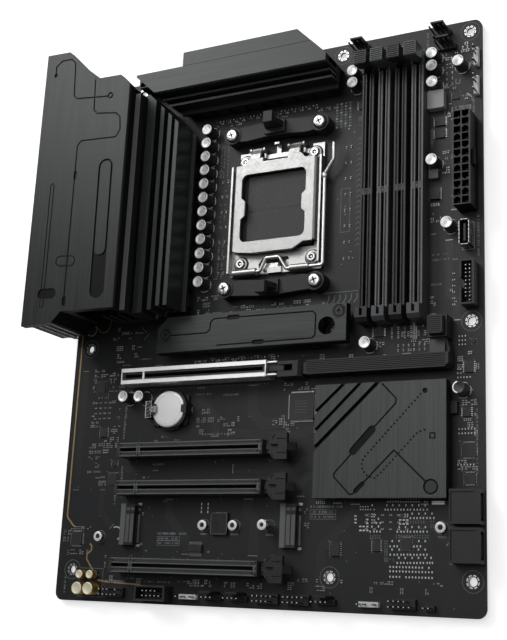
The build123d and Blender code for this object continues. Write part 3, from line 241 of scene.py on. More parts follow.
def mottled(name, color, rough, metallic, variation, scale):
    """Small-part finish: tone and gloss vary over each part."""
    nodes = start(name)
    blotch = nodes.noise(scale)
    base = nodes.mix(blotch, tint(color, 1 - variation), tint(color, 1 + variation))
    nodes.shade({"Base Color": base,
                 "Roughness": nodes.remap(blotch, MID, (rough * 0.85, rough * 1.15)),
                 "Metallic": metallic})
    nodes.bump(blotch, strength=0.1, distance=0.00002)


def can_metal(name, top_color, side_color, metallic):
    """Capacitor can: satin top, another colour round the side."""
    nodes = start(name)
    up = nodes.remap(nodes.normal_z(), (0.3, 0.6), UNIT)
    blotch = nodes.noise(700)
    top = nodes.mix(blotch, tint(top_color, 0.9), top_color)
    side = nodes.mix(blotch, tint(side_color, 0.8), side_color)
    nodes.shade({"Base Color": nodes.mix(up, side, top),
                 "Roughness": nodes.remap(blotch, MID, (0.28, 0.42)),
                 "Metallic": metallic})
    nodes.bump(blotch, strength=0.1, distance=0.00002, edge=0.0002)


def laminate():
    """Solder mask over woven laminate, with copper fields in relief and a bare edge."""
    nodes = start("laminate")
    waves = [nodes.node("TexWave", {"Scale": 420, "Distortion": 0.6, "Vector": nodes.coords()},
                        bands_direction=direction).outputs["Fac"] for direction in "XY"]
    weave = nodes.times(*waves)
    broad = nodes.noise(26, detail=4.0)
    fine = nodes.noise(1500)
    cells = nodes.node("TexVoronoi", {"Scale": 42, "Vector": nodes.coords()},
                       distance="CHEBYCHEV")
    pour = nodes.remap(cells.outputs["Color"], (0.35, 0.65), UNIT)
    base = nodes.mix(nodes.remap(broad, MID, (0.15, 0.85)),
                     (0.0125, 0.0130, 0.0142), (0.0205, 0.0212, 0.0226))
    base = nodes.mix(nodes.times(pour, 0.22), base, (0.027, 0.028, 0.030))
    base = nodes.mix(nodes.times(weave, 0.16), base, (0.030, 0.031, 0.033))
    edge = nodes.remap(nodes.math("ABSOLUTE", nodes.normal_z()), (0.3, 0.6), (1.0, 0.0))
    nodes.shade({"Base Color": nodes.mix(edge, base, (0.030, 0.026, 0.018)),
                 "Roughness": nodes.remap(fine, MID, (0.36, 0.5)),
                 "Specular IOR Level": 0.3})
    relief = nodes.plus(nodes.times(weave, 0.5), nodes.times(pour, 0.6))
    nodes.bump(relief, strength=0.22, distance=0.00004)


def ferrite():
    """Pressed pale-grey ferrite with painted shade: dark everywhere except towards the front and
    upper edges of the board.
    """
    nodes = start("ferrite")
    blotch = nodes.noise(1800)
    where = nodes.position()
    # painted shade: this mask is 1 only towards the front and upper edges; elsewhere the chokes are
    # darkened
    pale = nodes.times(nodes.remap(where[0], (0.190, 0.192), UNIT),
                       nodes.remap(where[1], (0.225, 0.227), (0.35, 1.0)))
    # low is the painted-shade tone, high the ferrite's own pale grey
    low = nodes.mix(blotch, (0.014, 0.014, 0.015), (0.020, 0.020, 0.021))
    high = nodes.mix(blotch, (0.29, 0.29, 0.295), (0.37, 0.37, 0.375))
    nodes.shade({"Base Color": nodes.mix(pale, low, high),
                 "Roughness": nodes.remap(blotch, MID, (0.5, 0.68))})
    nodes.bump(blotch, strength=0.12, distance=0.00003, edge=0.0002)


def socket_plastic():
    """Black power sockets: satin face and rims; painted shade makes them much darker and less
    reflective further down.
    """
    nodes = start("socket_plastic")
    fine = nodes.noise(5200)
    broad = nodes.noise(90, rough=0.5)
    top = (POWER_TOP + BOARD_T) / 1000
    # painted shade: darker and less reflective further down the cavities
    cavity_shade = nodes.remap(nodes.position()[2], (top - 0.00015, top - 0.0013), UNIT)
    base = nodes.mix(broad, (0.016, 0.016, 0.0165), (0.024, 0.024, 0.025))
    nodes.shade({"Base Color": nodes.mix(cavity_shade, base, (0.0035, 0.0035, 0.0037)),
                 "Roughness": nodes.remap(fine, MID, (0.36, 0.5)),
                 "Specular IOR Level": nodes.remap(cavity_shade, UNIT, (0.45, 0.12))})
    nodes.bump(fine, strength=0.25, distance=0.00004, edge=0.0001)


# colour, roughness, metallic, variation, noise scale
MOTTLED = {
    "trace": ((0.0185, 0.0191, 0.0205), 0.44, 0.0, 0.15, 300),
    "silk": ((0.42, 0.43, 0.44), 0.7, 0.0, 0.18, 1200),
    "silk_dim": ((0.16, 0.165, 0.17), 0.7, 0.0, 0.18, 1200),
    "silk_white": ((0.66, 0.665, 0.67), 0.7, 0.0, 0.12, 1200),
    "tin": ((0.66, 0.66, 0.65), 0.34, 0.85, 0.15, 1500),
    "tin_dim": ((0.30, 0.30, 0.295), 0.35, 0.9, 0.15, 1500),
    "solder": ((0.80, 0.80, 0.79), 0.42, 0.25, 0.12, 1500),
    "gold": ((0.62, 0.43, 0.20), 0.32, 1.0, 0.15, 900),
    # painted highlight: a lighter copy of the gold for the can tops
    "gold_top": ((1.0, 0.88, 0.66), 0.35, 0.35, 0.1, 900),
    "gold_side": ((0.62, 0.36, 0.10), 0.3, 0.8, 0.15, 900),
    "tan_trace": ((0.34, 0.24, 0.12), 0.45, 0.4, 0.2, 500),
    "thermal_pad": ((0.16, 0.165, 0.18), 0.85, 0.0, 0.1, 900),
    "ceramic_tan": ((0.17, 0.155, 0.135), 0.45, 0.0, 0.2, 900),
    "ceramic_grey": ((0.13, 0.128, 0.125), 0.45, 0.0, 0.2, 900),
    "resistor": ((0.012, 0.012, 0.013), 0.4, 0.0, 0.2, 900),
    "mark": ((0.10, 0.10, 0.105), 0.5, 0.0, 0.2, 900),
    "cap_mark": ((0.16, 0.162, 0.165), 0.5, 0.0, 0.15, 900),
    "lan_led": ((0.30, 0.55, 0.20), 0.3, 0.0, 0.1, 900),
    # painted shade: near-black for shadow rings, hole plugs, dimples and recess floors
    "hole_dark": ((0.006, 0.006, 0.006), 0.7, 0.0, 0.1, 900),
    # painted shade: near-black rings drawn for holes in the slot tops
    "slot_hole": ((0.004, 0.004, 0.004), 0.7, 0.0, 0.1, 900),
    "pin_ground": ((0.040, 0.040, 0.041), 0.6, 0.0, 0.2, 900),
    "pin": ((0.25, 0.248, 0.243), 0.45, 0.35, 0.2, 900),
    # painted highlight: a near-white copy of the pins' plating for their tips
    "pin_tip": ((0.92, 0.91, 0.88), 0.35, 0.3, 0.15, 1200),
    "m2_pin": ((0.26, 0.26, 0.255), 0.35, 0.6, 0.2, 1200),
    "contact": ((0.42, 0.36, 0.27), 0.35, 0.9, 0.2, 1200),
    # painted shade: near-black and dimmed copies of the contact metal, for parts down in slot
    # grooves
    "contact_dark": ((0.011, 0.011, 0.011), 0.5, 0.2, 0.25, 1200),
    "contact_dim": ((0.085, 0.085, 0.084), 0.4, 0.4, 0.25, 1200),
    # painted shade: a dark copy of plated metal for pin shanks and recess floors
    "recess": ((0.05, 0.05, 0.05), 0.4, 0.8, 0.2, 1200),
}
# colour, roughness, grain, edge radius, strength of the painted edge highlight
PLASTICS = {
    "black_moulding": ((0.0125, 0.0128, 0.0135), 0.46, 1.0, 0.00012, 0.35),
    "slot_black": ((0.0145, 0.0148, 0.0155), 0.42, 1.0, 0.00012, 0.35),
    "expansion_black": ((0.033, 0.0335, 0.035), 0.40, 1.0, 0.00012, 0.35),
    "slot_grey": ((0.064, 0.066, 0.069), 0.42, 1.0, 0.00012, 0.25),
    # painted highlight: a lighter copy of the slot plastic for its top ribs, rims and rails
    "slot_rib": ((0.115, 0.117, 0.120), 0.4, 1.0, 0.00012, 0.2),
    "rail_grey": ((0.130, 0.132, 0.135), 0.4, 1.0, 0.00012, 0.2),
    "rail_dark": ((0.022, 0.0224, 0.0224), 0.4, 1.0, 0.00012, 0.2),
    "stiffener_grey": ((0.115, 0.117, 0.120), 0.42, 1.0, 0.00012, 0.2),
    "light_plastic": ((0.60, 0.605, 0.61), 0.5, 1.0, 0.00012, 0.1),
    "socket_rim": ((0.070, 0.069, 0.067), 0.35, 1.0, 0.00012, 0.3),
    "gloss_black": ((0.008, 0.008, 0.009), 0.25, 0.5, 0.00012, 0.35),
    "matt_black": ((0.018, 0.018, 0.019), 0.6, 1.0, 0.00012, 0.35),
    "chip_black": ((0.016, 0.016, 0.017), 0.5, 1.4, 0.00008, 0.35),
    "bracket_black": ((0.0125, 0.0125, 0.0133), 0.52, 1.6, 0.0004, 0.35),
    "cap_sleeve": ((0.030, 0.030, 0.032), 0.38, 0.6, 0.00012, 0.35),
    "pad_rubber": ((0.03, 0.03, 0.031), 0.75, 2.0, 0.00012, 0.35),
    "pad_black": ((0.0085, 0.0085, 0.009), 0.6, 1.6, 0.00012, 0.35),
}
# colour, roughness, metallic, scuffing, edge radius; short rows take metal()'s defaults
METALS = {
    "nickel": ((0.50, 0.497, 0.488), 0.36),
    "plate_nickel": ((0.46, 0.458, 0.452), 0.42, 0.9, 0.2, 0.0003),
    "armour_steel": ((0.96, 0.96, 0.95), 0.45, 1.0, 0.2, 0.00015),
    "armour_weld": ((0.45, 0.45, 0.44), 0.35),
    "screw_steel": ((0.74, 0.74, 0.73), 0.26, 1.0, 0.25),
    "screw_edge": ((0.30, 0.30, 0.30), 0.3),
    "dark_screw": ((0.05, 0.05, 0.052), 0.35, 0.9, 0.3),
    "backplate": ((0.045, 0.045, 0.047), 0.42, 0.7, 0.3),
    "shield": ((0.06, 0.06, 0.063), 0.4, 0.9, 0.25),
    "port_shell": ((0.55, 0.55, 0.54), 0.25),
    "cell_steel": ((0.88, 0.88, 0.875), 0.46, 0.45, 0.1, 0.0003),
    "cell_rim": ((0.60, 0.60, 0.60), 0.35),
    "lever_steel": ((0.84, 0.835, 0.82), 0.34, 1.0, 0.25, 0.0),
}
# colour, brushing axis, roughness, edge radius, top height in board mm, strength of the painted
# shade below it
BRUSHED = {
    "cover_alu": ((0.025, 0.0262, 0.0262), "y", 0.36, 0.00025, 46.5, 0.82),
    "fin_alu": ((0.036, 0.038, 0.038), "y", 0.38, 0.0002),
    # painted light: a pale colour for the top strip of the shaded inner fin
    "fin_pale": ((0.20, 0.205, 0.205), "y", 0.5, 0.0002),
    "topsink_alu": ((0.033, 0.0345, 0.0345), "x", 0.36, 0.0002),
    "chipset_alu": ((0.056, 0.058, 0.058), "y", 0.36, 0.00025, 10.0, 0.9),
    "m2_alu": ((0.036, 0.038, 0.038), "x", 0.36, 0.00025, 12.5, 0.9),
}
# top colour, side colour, metallic
CAN_METALS = {
    "cap_can": ((0.90, 0.905, 0.91), (0.05, 0.05, 0.052), 0.35),
    # painted highlight: the gold can's top colour is lightened beyond its side
    "gold_can": ((0.92, 0.74, 0.46), (0.55, 0.36, 0.14), 0.8),
}
for finish, rows in ((mottled, MOTTLED), (plastic, PLASTICS), (metal, METALS),
                     (brushed, BRUSHED), (can_metal, CAN_METALS)):
    for name, row in rows.items():
        finish(name, *row)
laminate()
ferrite()
socket_plastic()
# painted light: a faint glow and a pale colour make the top of the shaded inner fin look lit
fin_surface = next(node for node in MATERIALS["fin_pale"].node_tree.nodes
                   if node.type == "BSDF_PRINCIPLED")
fin_surface.inputs["Emission Color"].default_value = (1.0, 1.0, 1.0, 1.0)
fin_surface.inputs["Emission Strength"].default_value = 0.030

# --- Finishes of the CAD pieces ---
FINISHES = {
    "laminate": "pcb", "backplate": "socket_backplate", "matt_black": "cpu_socket",
    "contact": "socket_contacts", "nickel": "socket_frame load_lever",
    "plate_nickel": "load_plate", "screw_steel": "socket_screws m2_standoffs",
    "bracket_black": "cooler_brackets", "fin_alu": "vrm_heatsink_left",
    "topsink_alu": "vrm_heatsink_top", "chipset_alu": "chipset_heatsink",
    "m2_alu": "m2_heatsink", "cover_alu": "io_cover", "thermal_pad": "thermal_pads",
    "chip_black": "power_stages chips chipset", "ferrite": "chokes",
    "dark_screw": "heatsink_screws", "shield": "io_shield",
    "port_shell": "usb_ports video_port lan_port", "gloss_black": "audio_jacks",
    "gold": "antenna_connectors", "cap_can": "capacitors", "gold_can": "audio_capacitors",
    "armour_steel": "pcie_armour", "cell_steel": "coin_cell",
    "socket_plastic": "atx_connector eps_connectors", "ceramic_tan": "smd_parts",
    "black_moulding": "flashback_switch flashback_button battery_holder usb_headers "
                      "pin_headers sata_ports m2_connectors release_housing release_rod "
                      "release_button pcie_latch_1 pcie_latch_2 pcie_latch_3 pcie_latch_4",
    "slot_black": "dimm_slot_1 dimm_slot_3 dimm_latch_1 dimm_latch_3 pcie_slot_1",
    "slot_grey": "dimm_slot_2 dimm_slot_4 dimm_latch_2 dimm_latch_4",
    "expansion_black": "pcie_slot_2 pcie_slot_3 pcie_slot_4",
}
FINISH_OF = {piece: finish for finish, pieces in FINISHES.items() for piece in pieces.split()}
for name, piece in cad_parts.items():
    piece.data.materials.clear()
    piece.data.materials.append(MATERIALS[FINISH_OF[name]])
    for polygon in piece.data.polygons:
        polygon.use_smooth = False


# --- Mesh building ---
def circle(x, y, radius, n):
    return [(x + radius * math.cos(2 * math.pi * i / n),
             y + radius * math.sin(2 * math.pi * i / n)) for i in range(n)]


def centred(count, pitch):
    """Evenly spaced offsets about zero."""
    return [(i - (count - 1) / 2) * pitch for i in range(count)]


def direction(start_point, end_point):
    return Vector((end_point[0] - start_point[0], end_point[1] - start_point[1])).normalized()


def offset_path(points, distance, closed=False):
    """A path moved sideways to its left, with mitred corners."""
    out = []
    last = len(points) - 1
    for i, (x, y) in enumerate(points):
        behind = direction(points[i - 1], (x, y))
        ahead = direction((x, y), points[(i + 1) % len(points)])
        if not closed and i == 0:
            behind = ahead
        elif not closed and i == last:
            ahead = behind
        normal = Vector((-(behind.y + ahead.y), behind.x + ahead.x)).normalized()
        reach = distance / normal.dot(Vector((-behind.y, behind.x)))
        out.append((x + normal.x * reach, y + normal.y * reach))
    return out


def wall_faces(rings, n):
    """Quads between successive rings of n points."""
    return [(a + i, a + (i + 1) % n, a + n + (i + 1) % n, a + n + i)
            for a in range(0, n * (rings - 1), n) for i in range(n)]


def cap_faces(rings, n):
    return [tuple(range(n - 1, -1, -1)), tuple(range(n * (rings - 1), n * rings))]


class Builder:
    """Collects many small shapes into one mesh; the first material is the default."""

    def __init__(self, name, *materials, body="board"):
        self.name, self.materials, self.body = name, materials, body
        self.points, self.faces, self.slots = [], [], []

    def add(self, points, faces, mat=None):
        first = len(self.points)
        self.points += [place(*point) for point in points]
        self.faces += [tuple(first + i for i in face) for face in faces]
        self.slots += [self.materials.index(mat) if mat else 0] * len(faces)

    def loft(self, rings, mat):
        n = len(rings[0])
        self.add([point for ring in rings for point in ring],
                 cap_faces(len(rings), n) + wall_faces(len(rings), n), mat)

    def box(self, x0, x1, y0, y1, z0, z1, mat=None, chamfer=0.0, turn=0.0):
        """Box between bounds in either order, with an optional top chamfer and turn."""
        x0, x1 = sorted((x0, x1))
        y0, y1 = sorted((y0, y1))
        levels = [(0.0, z0), (0.0, z1 - chamfer)]
        if chamfer:
            levels.append((chamfer, z1))
        mid_x, mid_y = (x0 + x1) / 2, (y0 + y1) / 2
        cos, sin = math.cos(turn), math.sin(turn)
        rings = []
        for c, z in levels:
            corners = ((x0 + c, y0 + c), (x1 - c, y0 + c), (x1 - c, y1 - c), (x0 + c, y1 - c))
            rings.append([(mid_x + (x - mid_x) * cos - (y - mid_y) * sin,
                           mid_y + (x - mid_x) * sin + (y - mid_y) * cos, z)
                          for x, y in corners])
        self.loft(rings, mat)

    def block(self, x, y, half_x, half_y, z0, z1, mat=None, chamfer=0.0, turn=0.0):
        """Box about a centre."""
        self.box(x - half_x, x + half_x, y - half_y, y + half_y, z0, z1, mat, chamfer, turn)

    def prism(self, outline, z0, z1, mat=None):
        self.loft([[(x, y, z) for x, y in outline] for z in (z0, z1)], mat)

    def cyl(self, x, y, radius, z0, z1, mat=None, n=20):
        self.prism(circle(x, y, radius, n), z0, z1, mat)

    def lathe(self, x, y, profile, mat=None, n=32):
        """Turned shape about a vertical axis; profile is (radius, height) from the bottom."""
        points, faces, rings = [], [], []
        for radius, z in profile:
            first = len(points)
            ring = circle(x, y, radius, n) if radius else [(x, y)]
            points += [(px, py, z) for px, py in ring]
            rings.append(range(first, len(points)))
        for low, high in zip(rings, rings[1:]):
            for i in range(n):
                j = (i + 1) % n
                if len(low) == 1:
                    faces.append((low[0], high[j], high[i]))
                elif len(high) == 1:
                    faces.append((low[i], low[j], high[0]))
                else:
                    faces.append((low[i], low[j], high[j], high[i]))
        self.add(points, faces, mat)

    def sweep(self, first_side, second_side, z0, z1, mat, closed):
        """Flat band between two outlines, z0 to z1."""
        points, faces = [], []
        n = len(first_side)
        for p, q in zip(first_side, second_side):
            points += [(*p, z0), (*q, z0), (*q, z1), (*p, z1)]
        for i in range(n if closed else n - 1):
            a, b = 4 * i, 4 * ((i + 1) % n)
            faces += [(a, b, b + 1, a + 1), (a + 1, b + 1, b + 2, a + 2),
                      (a + 2, b + 2, b + 3, a + 3), (a + 3, b + 3, b, a)]
        if not closed:
            faces += [(0, 1, 2, 3), (4 * n - 1, 4 * n - 2, 4 * n - 3, 4 * n - 4)]
        self.add(points, faces, mat)

    def arc(self, x, y, inner, outer, start_deg, end_deg, z0, z1, mat=None, n=12):
        """Ring sector of n steps."""
        full = end_deg - start_deg == 360
        angles = [math.radians(start_deg + (end_deg - start_deg) * i / n)
                  for i in range(n if full else n + 1)]
        sides = [[(x + r * math.cos(a), y + r * math.sin(a)) for a in angles]
                 for r in (inner, outer)]
        self.sweep(*sides, z0, z1, mat, full)

    def ring(self, x, y, inner, outer, z0, z1, mat=None, n=12):
        self.arc(x, y, inner, outer, 0, 360, z0, z1, mat, n)

    def strip(self, points, width, z0, z1, mat=None, closed=False):
        """Flat track along points."""
        self.sweep(offset_path(points, width / 2, closed), offset_path(points, -width / 2, closed),
                   z0, z1, mat, closed)

    def tube(self, path, radius, n=12):
        """Round wire through 3-D points, with domed ends."""
        path = [Vector(point) for point in path]
        last = len(path) - 1
        points, side = [], None
        for i, point in enumerate(path):
            along = (path[min(i + 1, last)] - path[max(i - 1, 0)]).normalized()
            if side is None:
                side = along.cross(Vector((0, 0, 1))).normalized()
            else:
                side = (side - along * side.dot(along)).normalized()
            other = along.cross(side)
            # ring stations: (shift along the wire, radius), both as shares of the radius
            stations = [(0, 1.0)]
            if i == 0:
                stations = [(-0.86, 0.5), (-0.5, 0.86), (0, 1)]
            elif i == last:
                stations = [(0, 1), (0.5, 0.86), (0.86, 0.5)]
            for shift, share in stations:
                for j in range(n):
                    a = 2 * math.pi * j / n
                    spoke = side * math.cos(a) + other * math.sin(a)
                    points.append(point + along * (shift * radius) + spoke * (radius * share))
        rings = len(points) // n
        self.add(points, wall_faces(rings, n) + cap_faces(rings, n))

    def done(self, slot, replaces=None, smooth=None):
        """Make the object; smooth is the sharp-edge angle in degrees."""
        mesh = bpy.data.meshes.new(self.name)
        mesh.from_pydata(self.points, [], self.faces)
        for name in self.materials:
            mesh.materials.append(MATERIALS[name])
        mesh.polygons.foreach_set("material_index", self.slots)
        mesh.update()
        bm = bmesh.new()
        bm.from_mesh(mesh)
        bmesh.ops.recalc_face_normals(bm, faces=bm.faces)
        bm.to_mesh(mesh)
        bm.free()
        obj = bpy.data.objects.new(self.name, mesh)
        bpy.context.scene.collection.objects.link(obj)
        if smooth:
            for polygon in mesh.polygons:
                polygon.use_smooth = True
            mesh.set_sharp_from_angle(angle=math.radians(smooth))
        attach(obj, self.body)
        if replaces:
            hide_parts(replaces)


# --- Shared positions ---
HOLES = [(10.16, 16.51), (10.16, 140.97), (33.02, 298.45)]
HOLES += [(x, y) for x in (165.10, 237.49) for y in (16.51, 140.97, 298.45)]
MEMORY_X = [184.2, 193.3, 202.6, 211.9]
SLOT_Y = [120.9, 80.26, 59.94, 19.3]    # expansion slots; the first is armoured
STORAGE_Y = 41.0                        # middle line of the storage sockets
SHORT_POSTS = [(92.5, STORAGE_Y), (110.6, STORAGE_Y), (222.5, STORAGE_Y), (27.0, 34.5)]
TALL_POST = (131.0, STORAGE_Y)
CANS = [(84.3, 172.9 + 8.27 * i) for i in range(12)]
CANS += [
    (173.9, 284.2), (174.1, 277.1), (218.9, 285.9), (218.9, 278.7), (219.2, 269.4), (233.2, 278.8),
    (219.1, 225.8), (227.1, 190.9), (184.3, 131.9), (40.3, 110.5), (50.6, 110.2), (233.2, 106.6)]
# chip packages: centre x, y, size along x, along y, height
CHIPS = [
    (147.3, 102.0, 14.0, 14.0, 1.4), (11.7, 33.3, 7.0, 7.0, 1.0), (221.2, 249.4, 5.6, 5.0, 1.1),
    (221.2, 242.6, 5.6, 5.0, 1.1), (218.6, 209.4, 5.4, 6.4, 2.2), (236.2, 118.0, 4.6, 5.6, 1.0),
    (236.0, 77.5, 7.2, 7.2, 0.9), (236.4, 64.0, 5.6, 5.6, 0.9), (228.6, 98.0, 4.6, 6.0, 3.0),
    (235.0, 96.0, 4.0, 4.6, 1.0), (88.0, 29.6, 5.0, 3.2, 1.0), (20.0, 118.0, 6.0, 6.0, 0.9),
    (24.0, 92.0, 4.6, 5.0, 0.9), (189.0, 138.4, 5.6, 4.6, 0.9), (205.0, 33.4, 5.6, 5.6, 0.9),
    (189.6, 32.0, 4.0, 5.0, 0.9), (32.4, 66.0, 6.0, 6.0, 0.9), (33.0, 74.4, 3.2, 2.5, 0.8),
    (168.0, 30.0, 5.0, 6.2, 1.6), (89.0, 150.6, 4.0, 4.0, 0.9), (229.6, 262.6, 4.0, 4.0, 0.9),
    (176.6, 266.0, 3.0, 4.0, 0.9), (238.6, 130.6, 1.6, 1.6, 0.7)]
# rectangles kept clear of small parts: x0, x1, y0, y1
KEEP_CLEAR = [(x - 3.9, x + 3.9, y - 3.9, y + 3.9) for x, y in CANS]
KEEP_CLEAR += [(x - 4.6, x + 4.6, y - 4.6, y + 4.6) for x, y in HOLES]
KEEP_CLEAR += [(x - a / 2 - 1.0, x + a / 2 + 1.0, y - b / 2 - 1.0, y + b / 2 + 1.0)
               for x, y, a, b, _ in CHIPS]
KEEP_CLEAR += [(x - 3.6, x + 3.6, 141.0, 288.0) for x in MEMORY_X]
KEEP_CLEAR += [(41.0, 148.0, y - 4.2, y + 4.2) for y in SLOT_Y]
KEEP_CLEAR += [
    (130.0, 154.0, 115.9, 124.9), (153.0, 229.4, 116.4, 124.6), (216.6, 229.4, 124.0, 143.4),
    (131.0, 145.0, 73.0, 87.4), (131.0, 145.0, 52.8, 67.0), (60.0, 179.5, 131.4, 154.0),
    (158.4, 228.2, 53.6, 111.2), (54.0, 82.0, 91.0, 115.0), (43.0, 53.2, 29.4, 52.6),
    (139.6, 149.8, 29.4, 52.6), (98.0, 159.0, 160.0, 253.0), (30.0, 80.0, 150.0, 300.0),
    (40.0, 173.5, 273.0, 304.8), (-5.0, 26.0, 153.0, 304.8), (-5.0, 13.0, 144.0, 156.0),
    (230.9, 243.0, 197.0, 249.2), (233.6, 243.0, 146.6, 171.0), (232.8, 239.4, 177.8, 192.2),
    (56.6, 76.4, 0.0, 10.0), (32.0, 47.4, 2.0, 8.6), (80.6, 92.2, 2.6, 6.2),
    (95.4, 106.6, 2.8, 8.4), (110.4, 121.6, 2.8, 8.4), (125.4, 139.6, 1.8, 8.0),
    (142.4, 156.6, 1.8, 8.0), (158.8, 170.4, 2.8, 8.4), (181.4, 192.4, 2.6, 6.2),
    (197.4, 211.0, 1.8, 8.0), (214.4, 220.6, 2.0, 6.0), (228.0, 243.84, 23.8, 59.0),
    (215.0, 225.2, 255.0, 267.0), (215.4, 221.8, 216.6, 223.0), (171.0, 182.6, 297.6, 303.0),
    (216.8, 228.6, 297.6, 303.0), (219.6, 231.6, 288.8, 294.4), (239.2, 243.2, 260.2, 288.4),
    (15.4, 30.4, 2.6, 17.0), (90.0, 95.2, 38.4, 43.6), (108.0, 113.2, 38.4, 43.6),
    (128.0, 134.0, 38.0, 44.0), (220.0, 225.2, 38.4, 43.6), (24.4, 30.0, 31.9, 37.1),
    (97.0, 107.8, 36.0, 48.0), (1.5, 5.6, 40.0, 156.0), (170.0, 182.0, 192.0, 250.0)]


def free(x, y, half_x, half_y):
    """True where a rectangle is on the board and off every kept-clear one."""
    x0, x1, y0, y1 = x - half_x, x + half_x, y - half_y, y + half_y
    if x0 < 1.2 or y0 < 1.2 or x1 > 242.6 or y1 > 303.6:
        return False
    return all(x1 < k[0] or x0 > k[1] or y1 < k[2] or y0 > k[3] for k in KEEP_CLEAR)


# --- Copper tracks and vias ---
TRACK_WIDTH = 0.26
# parallel runs: track count, pitch, middle line
BUSES = [
    (12, 0.6, [(112.0, 171.2), (112.0, 162.0), (104.0, 154.0)]),
    (14, 0.6, [(146.0, 171.2), (146.0, 163.0), (155.0, 154.2)]),
    (10, 0.6, [(124.0, 171.0), (124.0, 155.0)])]
BUSES += [(6, 0.55, [(x, 130.6), (x, 127.4), (x - 1.6, 125.8)])
          for x in (92.0, 101.0, 110.0, 119.0, 128.0)]
BUSES += [
    (8, 0.6, [(86.0, 114.6), (86.0, 108.0), (96.0, 98.0), (96.0, 88.0)]),
    (10, 0.6, [(118.0, 114.6), (118.0, 100.0), (124.0, 94.0), (137.0, 94.0)]),
    (8, 0.62, [(157.6, 74.0), (150.0, 74.0), (146.5, 70.5), (108.0, 70.5)]),
    (7, 0.6, [(157.6, 66.0), (151.0, 66.0), (148.0, 63.0), (148.0, 56.0)]),
    (6, 0.7, [(156.8, 90.0), (150.0, 90.0), (147.0, 87.0), (104.0, 89.6)]),
    (5, 0.7, [(60.0, 70.2), (60.0, 71.2), (38.0, 71.2)]),
    (8, 0.62, [(70.0, 54.6), (70.0, 46.0), (82.0, 34.0), (82.0, 26.0)]),
    (9, 0.62, [(118.0, 54.6), (118.0, 48.0), (122.0, 44.0), (122.0, 26.0)]),
    (9, 0.6, [(36.0, 130.0), (36.0, 140.0), (46.0, 150.0)]),
    (8, 0.6, [(58.0, 128.6), (58.0, 136.0), (48.0, 146.0)]),
    (8, 0.62, [(178.0, 52.0), (178.0, 48.0), (160.0, 30.0), (160.0, 12.0)]),
    (6, 0.62, [(214.0, 52.0), (214.0, 46.0), (226.0, 34.0)]),
    (6, 0.65, [(230.0, 142.0), (230.0, 152.0), (226.0, 156.0), (226.0, 184.0)]),
    (4, 0.7, [(217.6, 146.0), (217.6, 188.0)]),
    (5, 0.6, [(228.6, 200.0), (228.6, 250.0)]),
    (6, 0.6, [(233.0, 252.0), (233.0, 258.0), (237.0, 262.0)]),
    (6, 0.7, [(8.0, 128.0), (8.0, 60.0)]),
    (6, 0.6, [(26.0, 60.0), (26.0, 48.0), (34.0, 40.0)]),
    (3, 0.9, [(90.8, 240.0), (90.8, 176.0)])]
tracks = Builder("pcb_tracks", "trace", "tin_dim")
for count, pitch, middle in BUSES:
    for shift in centred(count, pitch):
        path = offset_path(middle, shift)
        tracks.strip(path, TRACK_WIDTH, SUNK, 0.018)
        for x, y in (path[0], path[-1]):
            tracks.cyl(x, y, 0.28, SUNK, 0.03, "tin_dim", 8)
rng = random.Random(11)
for _ in range(900):
    x, y = rng.uniform(4, 240), rng.uniform(4, 300)
    if free(x, y, 0.4, 0.4):
        tracks.cyl(x, y, 0.24, SUNK, 0.026, "tin_dim" if rng.random() < 0.25 else "trace", 8)
tracks.done("laminate")

# --- Tan track along the rear edge and round the lower rear corner ---
# width, top, middle line
GUARD_RUNS = [
    (0.62, 0.035, [(12.4, 154.6), (13.6, 153.4), (15.8, 151.0), (18.0, 150.2), (20.6, 151.2),
                   (22.4, 153.4), (22.7, 156.0), (22.7, 160.6)]),
    (0.95, 0.035, [(3.5, 156.0), (3.5, 152.0), (3.5, 46.0), (4.0, 44.6), (8.0, 40.5), (9.4, 39.6)]),
    (0.8, 0.035, [(20.4, 30.6), (21.8, 29.4), (21.8, 27.0), (19.4, 25.2), (19.0, 22.4),
                  (28.0, 11.2), (33.0, 10.6), (55.0, 9.6)]),
    (0.5, 0.03, [(55.0, 9.6), (56.0, 8.6), (56.0, 2.0)])]
guard = Builder("guard_track", "tan_trace")
for width, top, path in GUARD_RUNS:
    guard.strip(path, width, SUNK, top)
guard.done("laminate")

# --- Mounting hole sleeves, split pads on both faces, printed rings ---
hole_pads = Builder("hole_pads", "tin", "silk_dim")
for x, y in HOLES:
    hole_pads.ring(x, y, 2.0, 2.28, -BOARD_T + SUNK, 0.02, "tin", 28)
    for i in range(8):
        a = 45 * i + 12
        hole_pads.arc(x, y, 2.6, 3.2, a, a + 30, SUNK, 0.05, "tin", 4)
        hole_pads.arc(x, y, 2.65, 3.45, a, a + 30, -1.65, -1.58, "tin", 4)
    hole_pads.ring(x, y, 5.0, 5.22, SUNK, INK_TOP, "silk_dim", 40)
hole_pads.done("laminate")

# --- Printed marks, with short dashes in place of lettering ---
silk = Builder("silk_marks", "silk", "silk_dim", "silk_white")


def mark(x0, x1, y0, y1, mat="silk_dim"):
    silk.box(x0, x1, y0, y1, SUNK, INK_TOP, mat)


def line(points, width):
    silk.strip(points, width, SUNK, INK_TOP, "silk_dim")


def outline(x0, x1, y0, y1, width, mat="silk_dim"):
    silk.strip([(x0, y0), (x1, y0), (x1, y1), (x0, y1)], width, SUNK, INK_TOP, mat, closed=True)


def dashes(x0, x1, y0, y1, seed, along_y=False, pitch=1.15, fill=0.75):
    """A band of short dashes; fill is the share of them drawn."""
    rng = random.Random(seed)
    at, end = (y0, y1) if along_y else (x0, x1)
    while at < end:
        length = rng.choice((0.35, 0.5, 0.7))
        if rng.random() < fill:
            short = rng.choice((0.0, 0.0, 0.12))
            if along_y:
                mark(x0, x1 - short, at, at + length)
            else:
                mark(at, at + length, y0, y1 - short)
        at += pitch


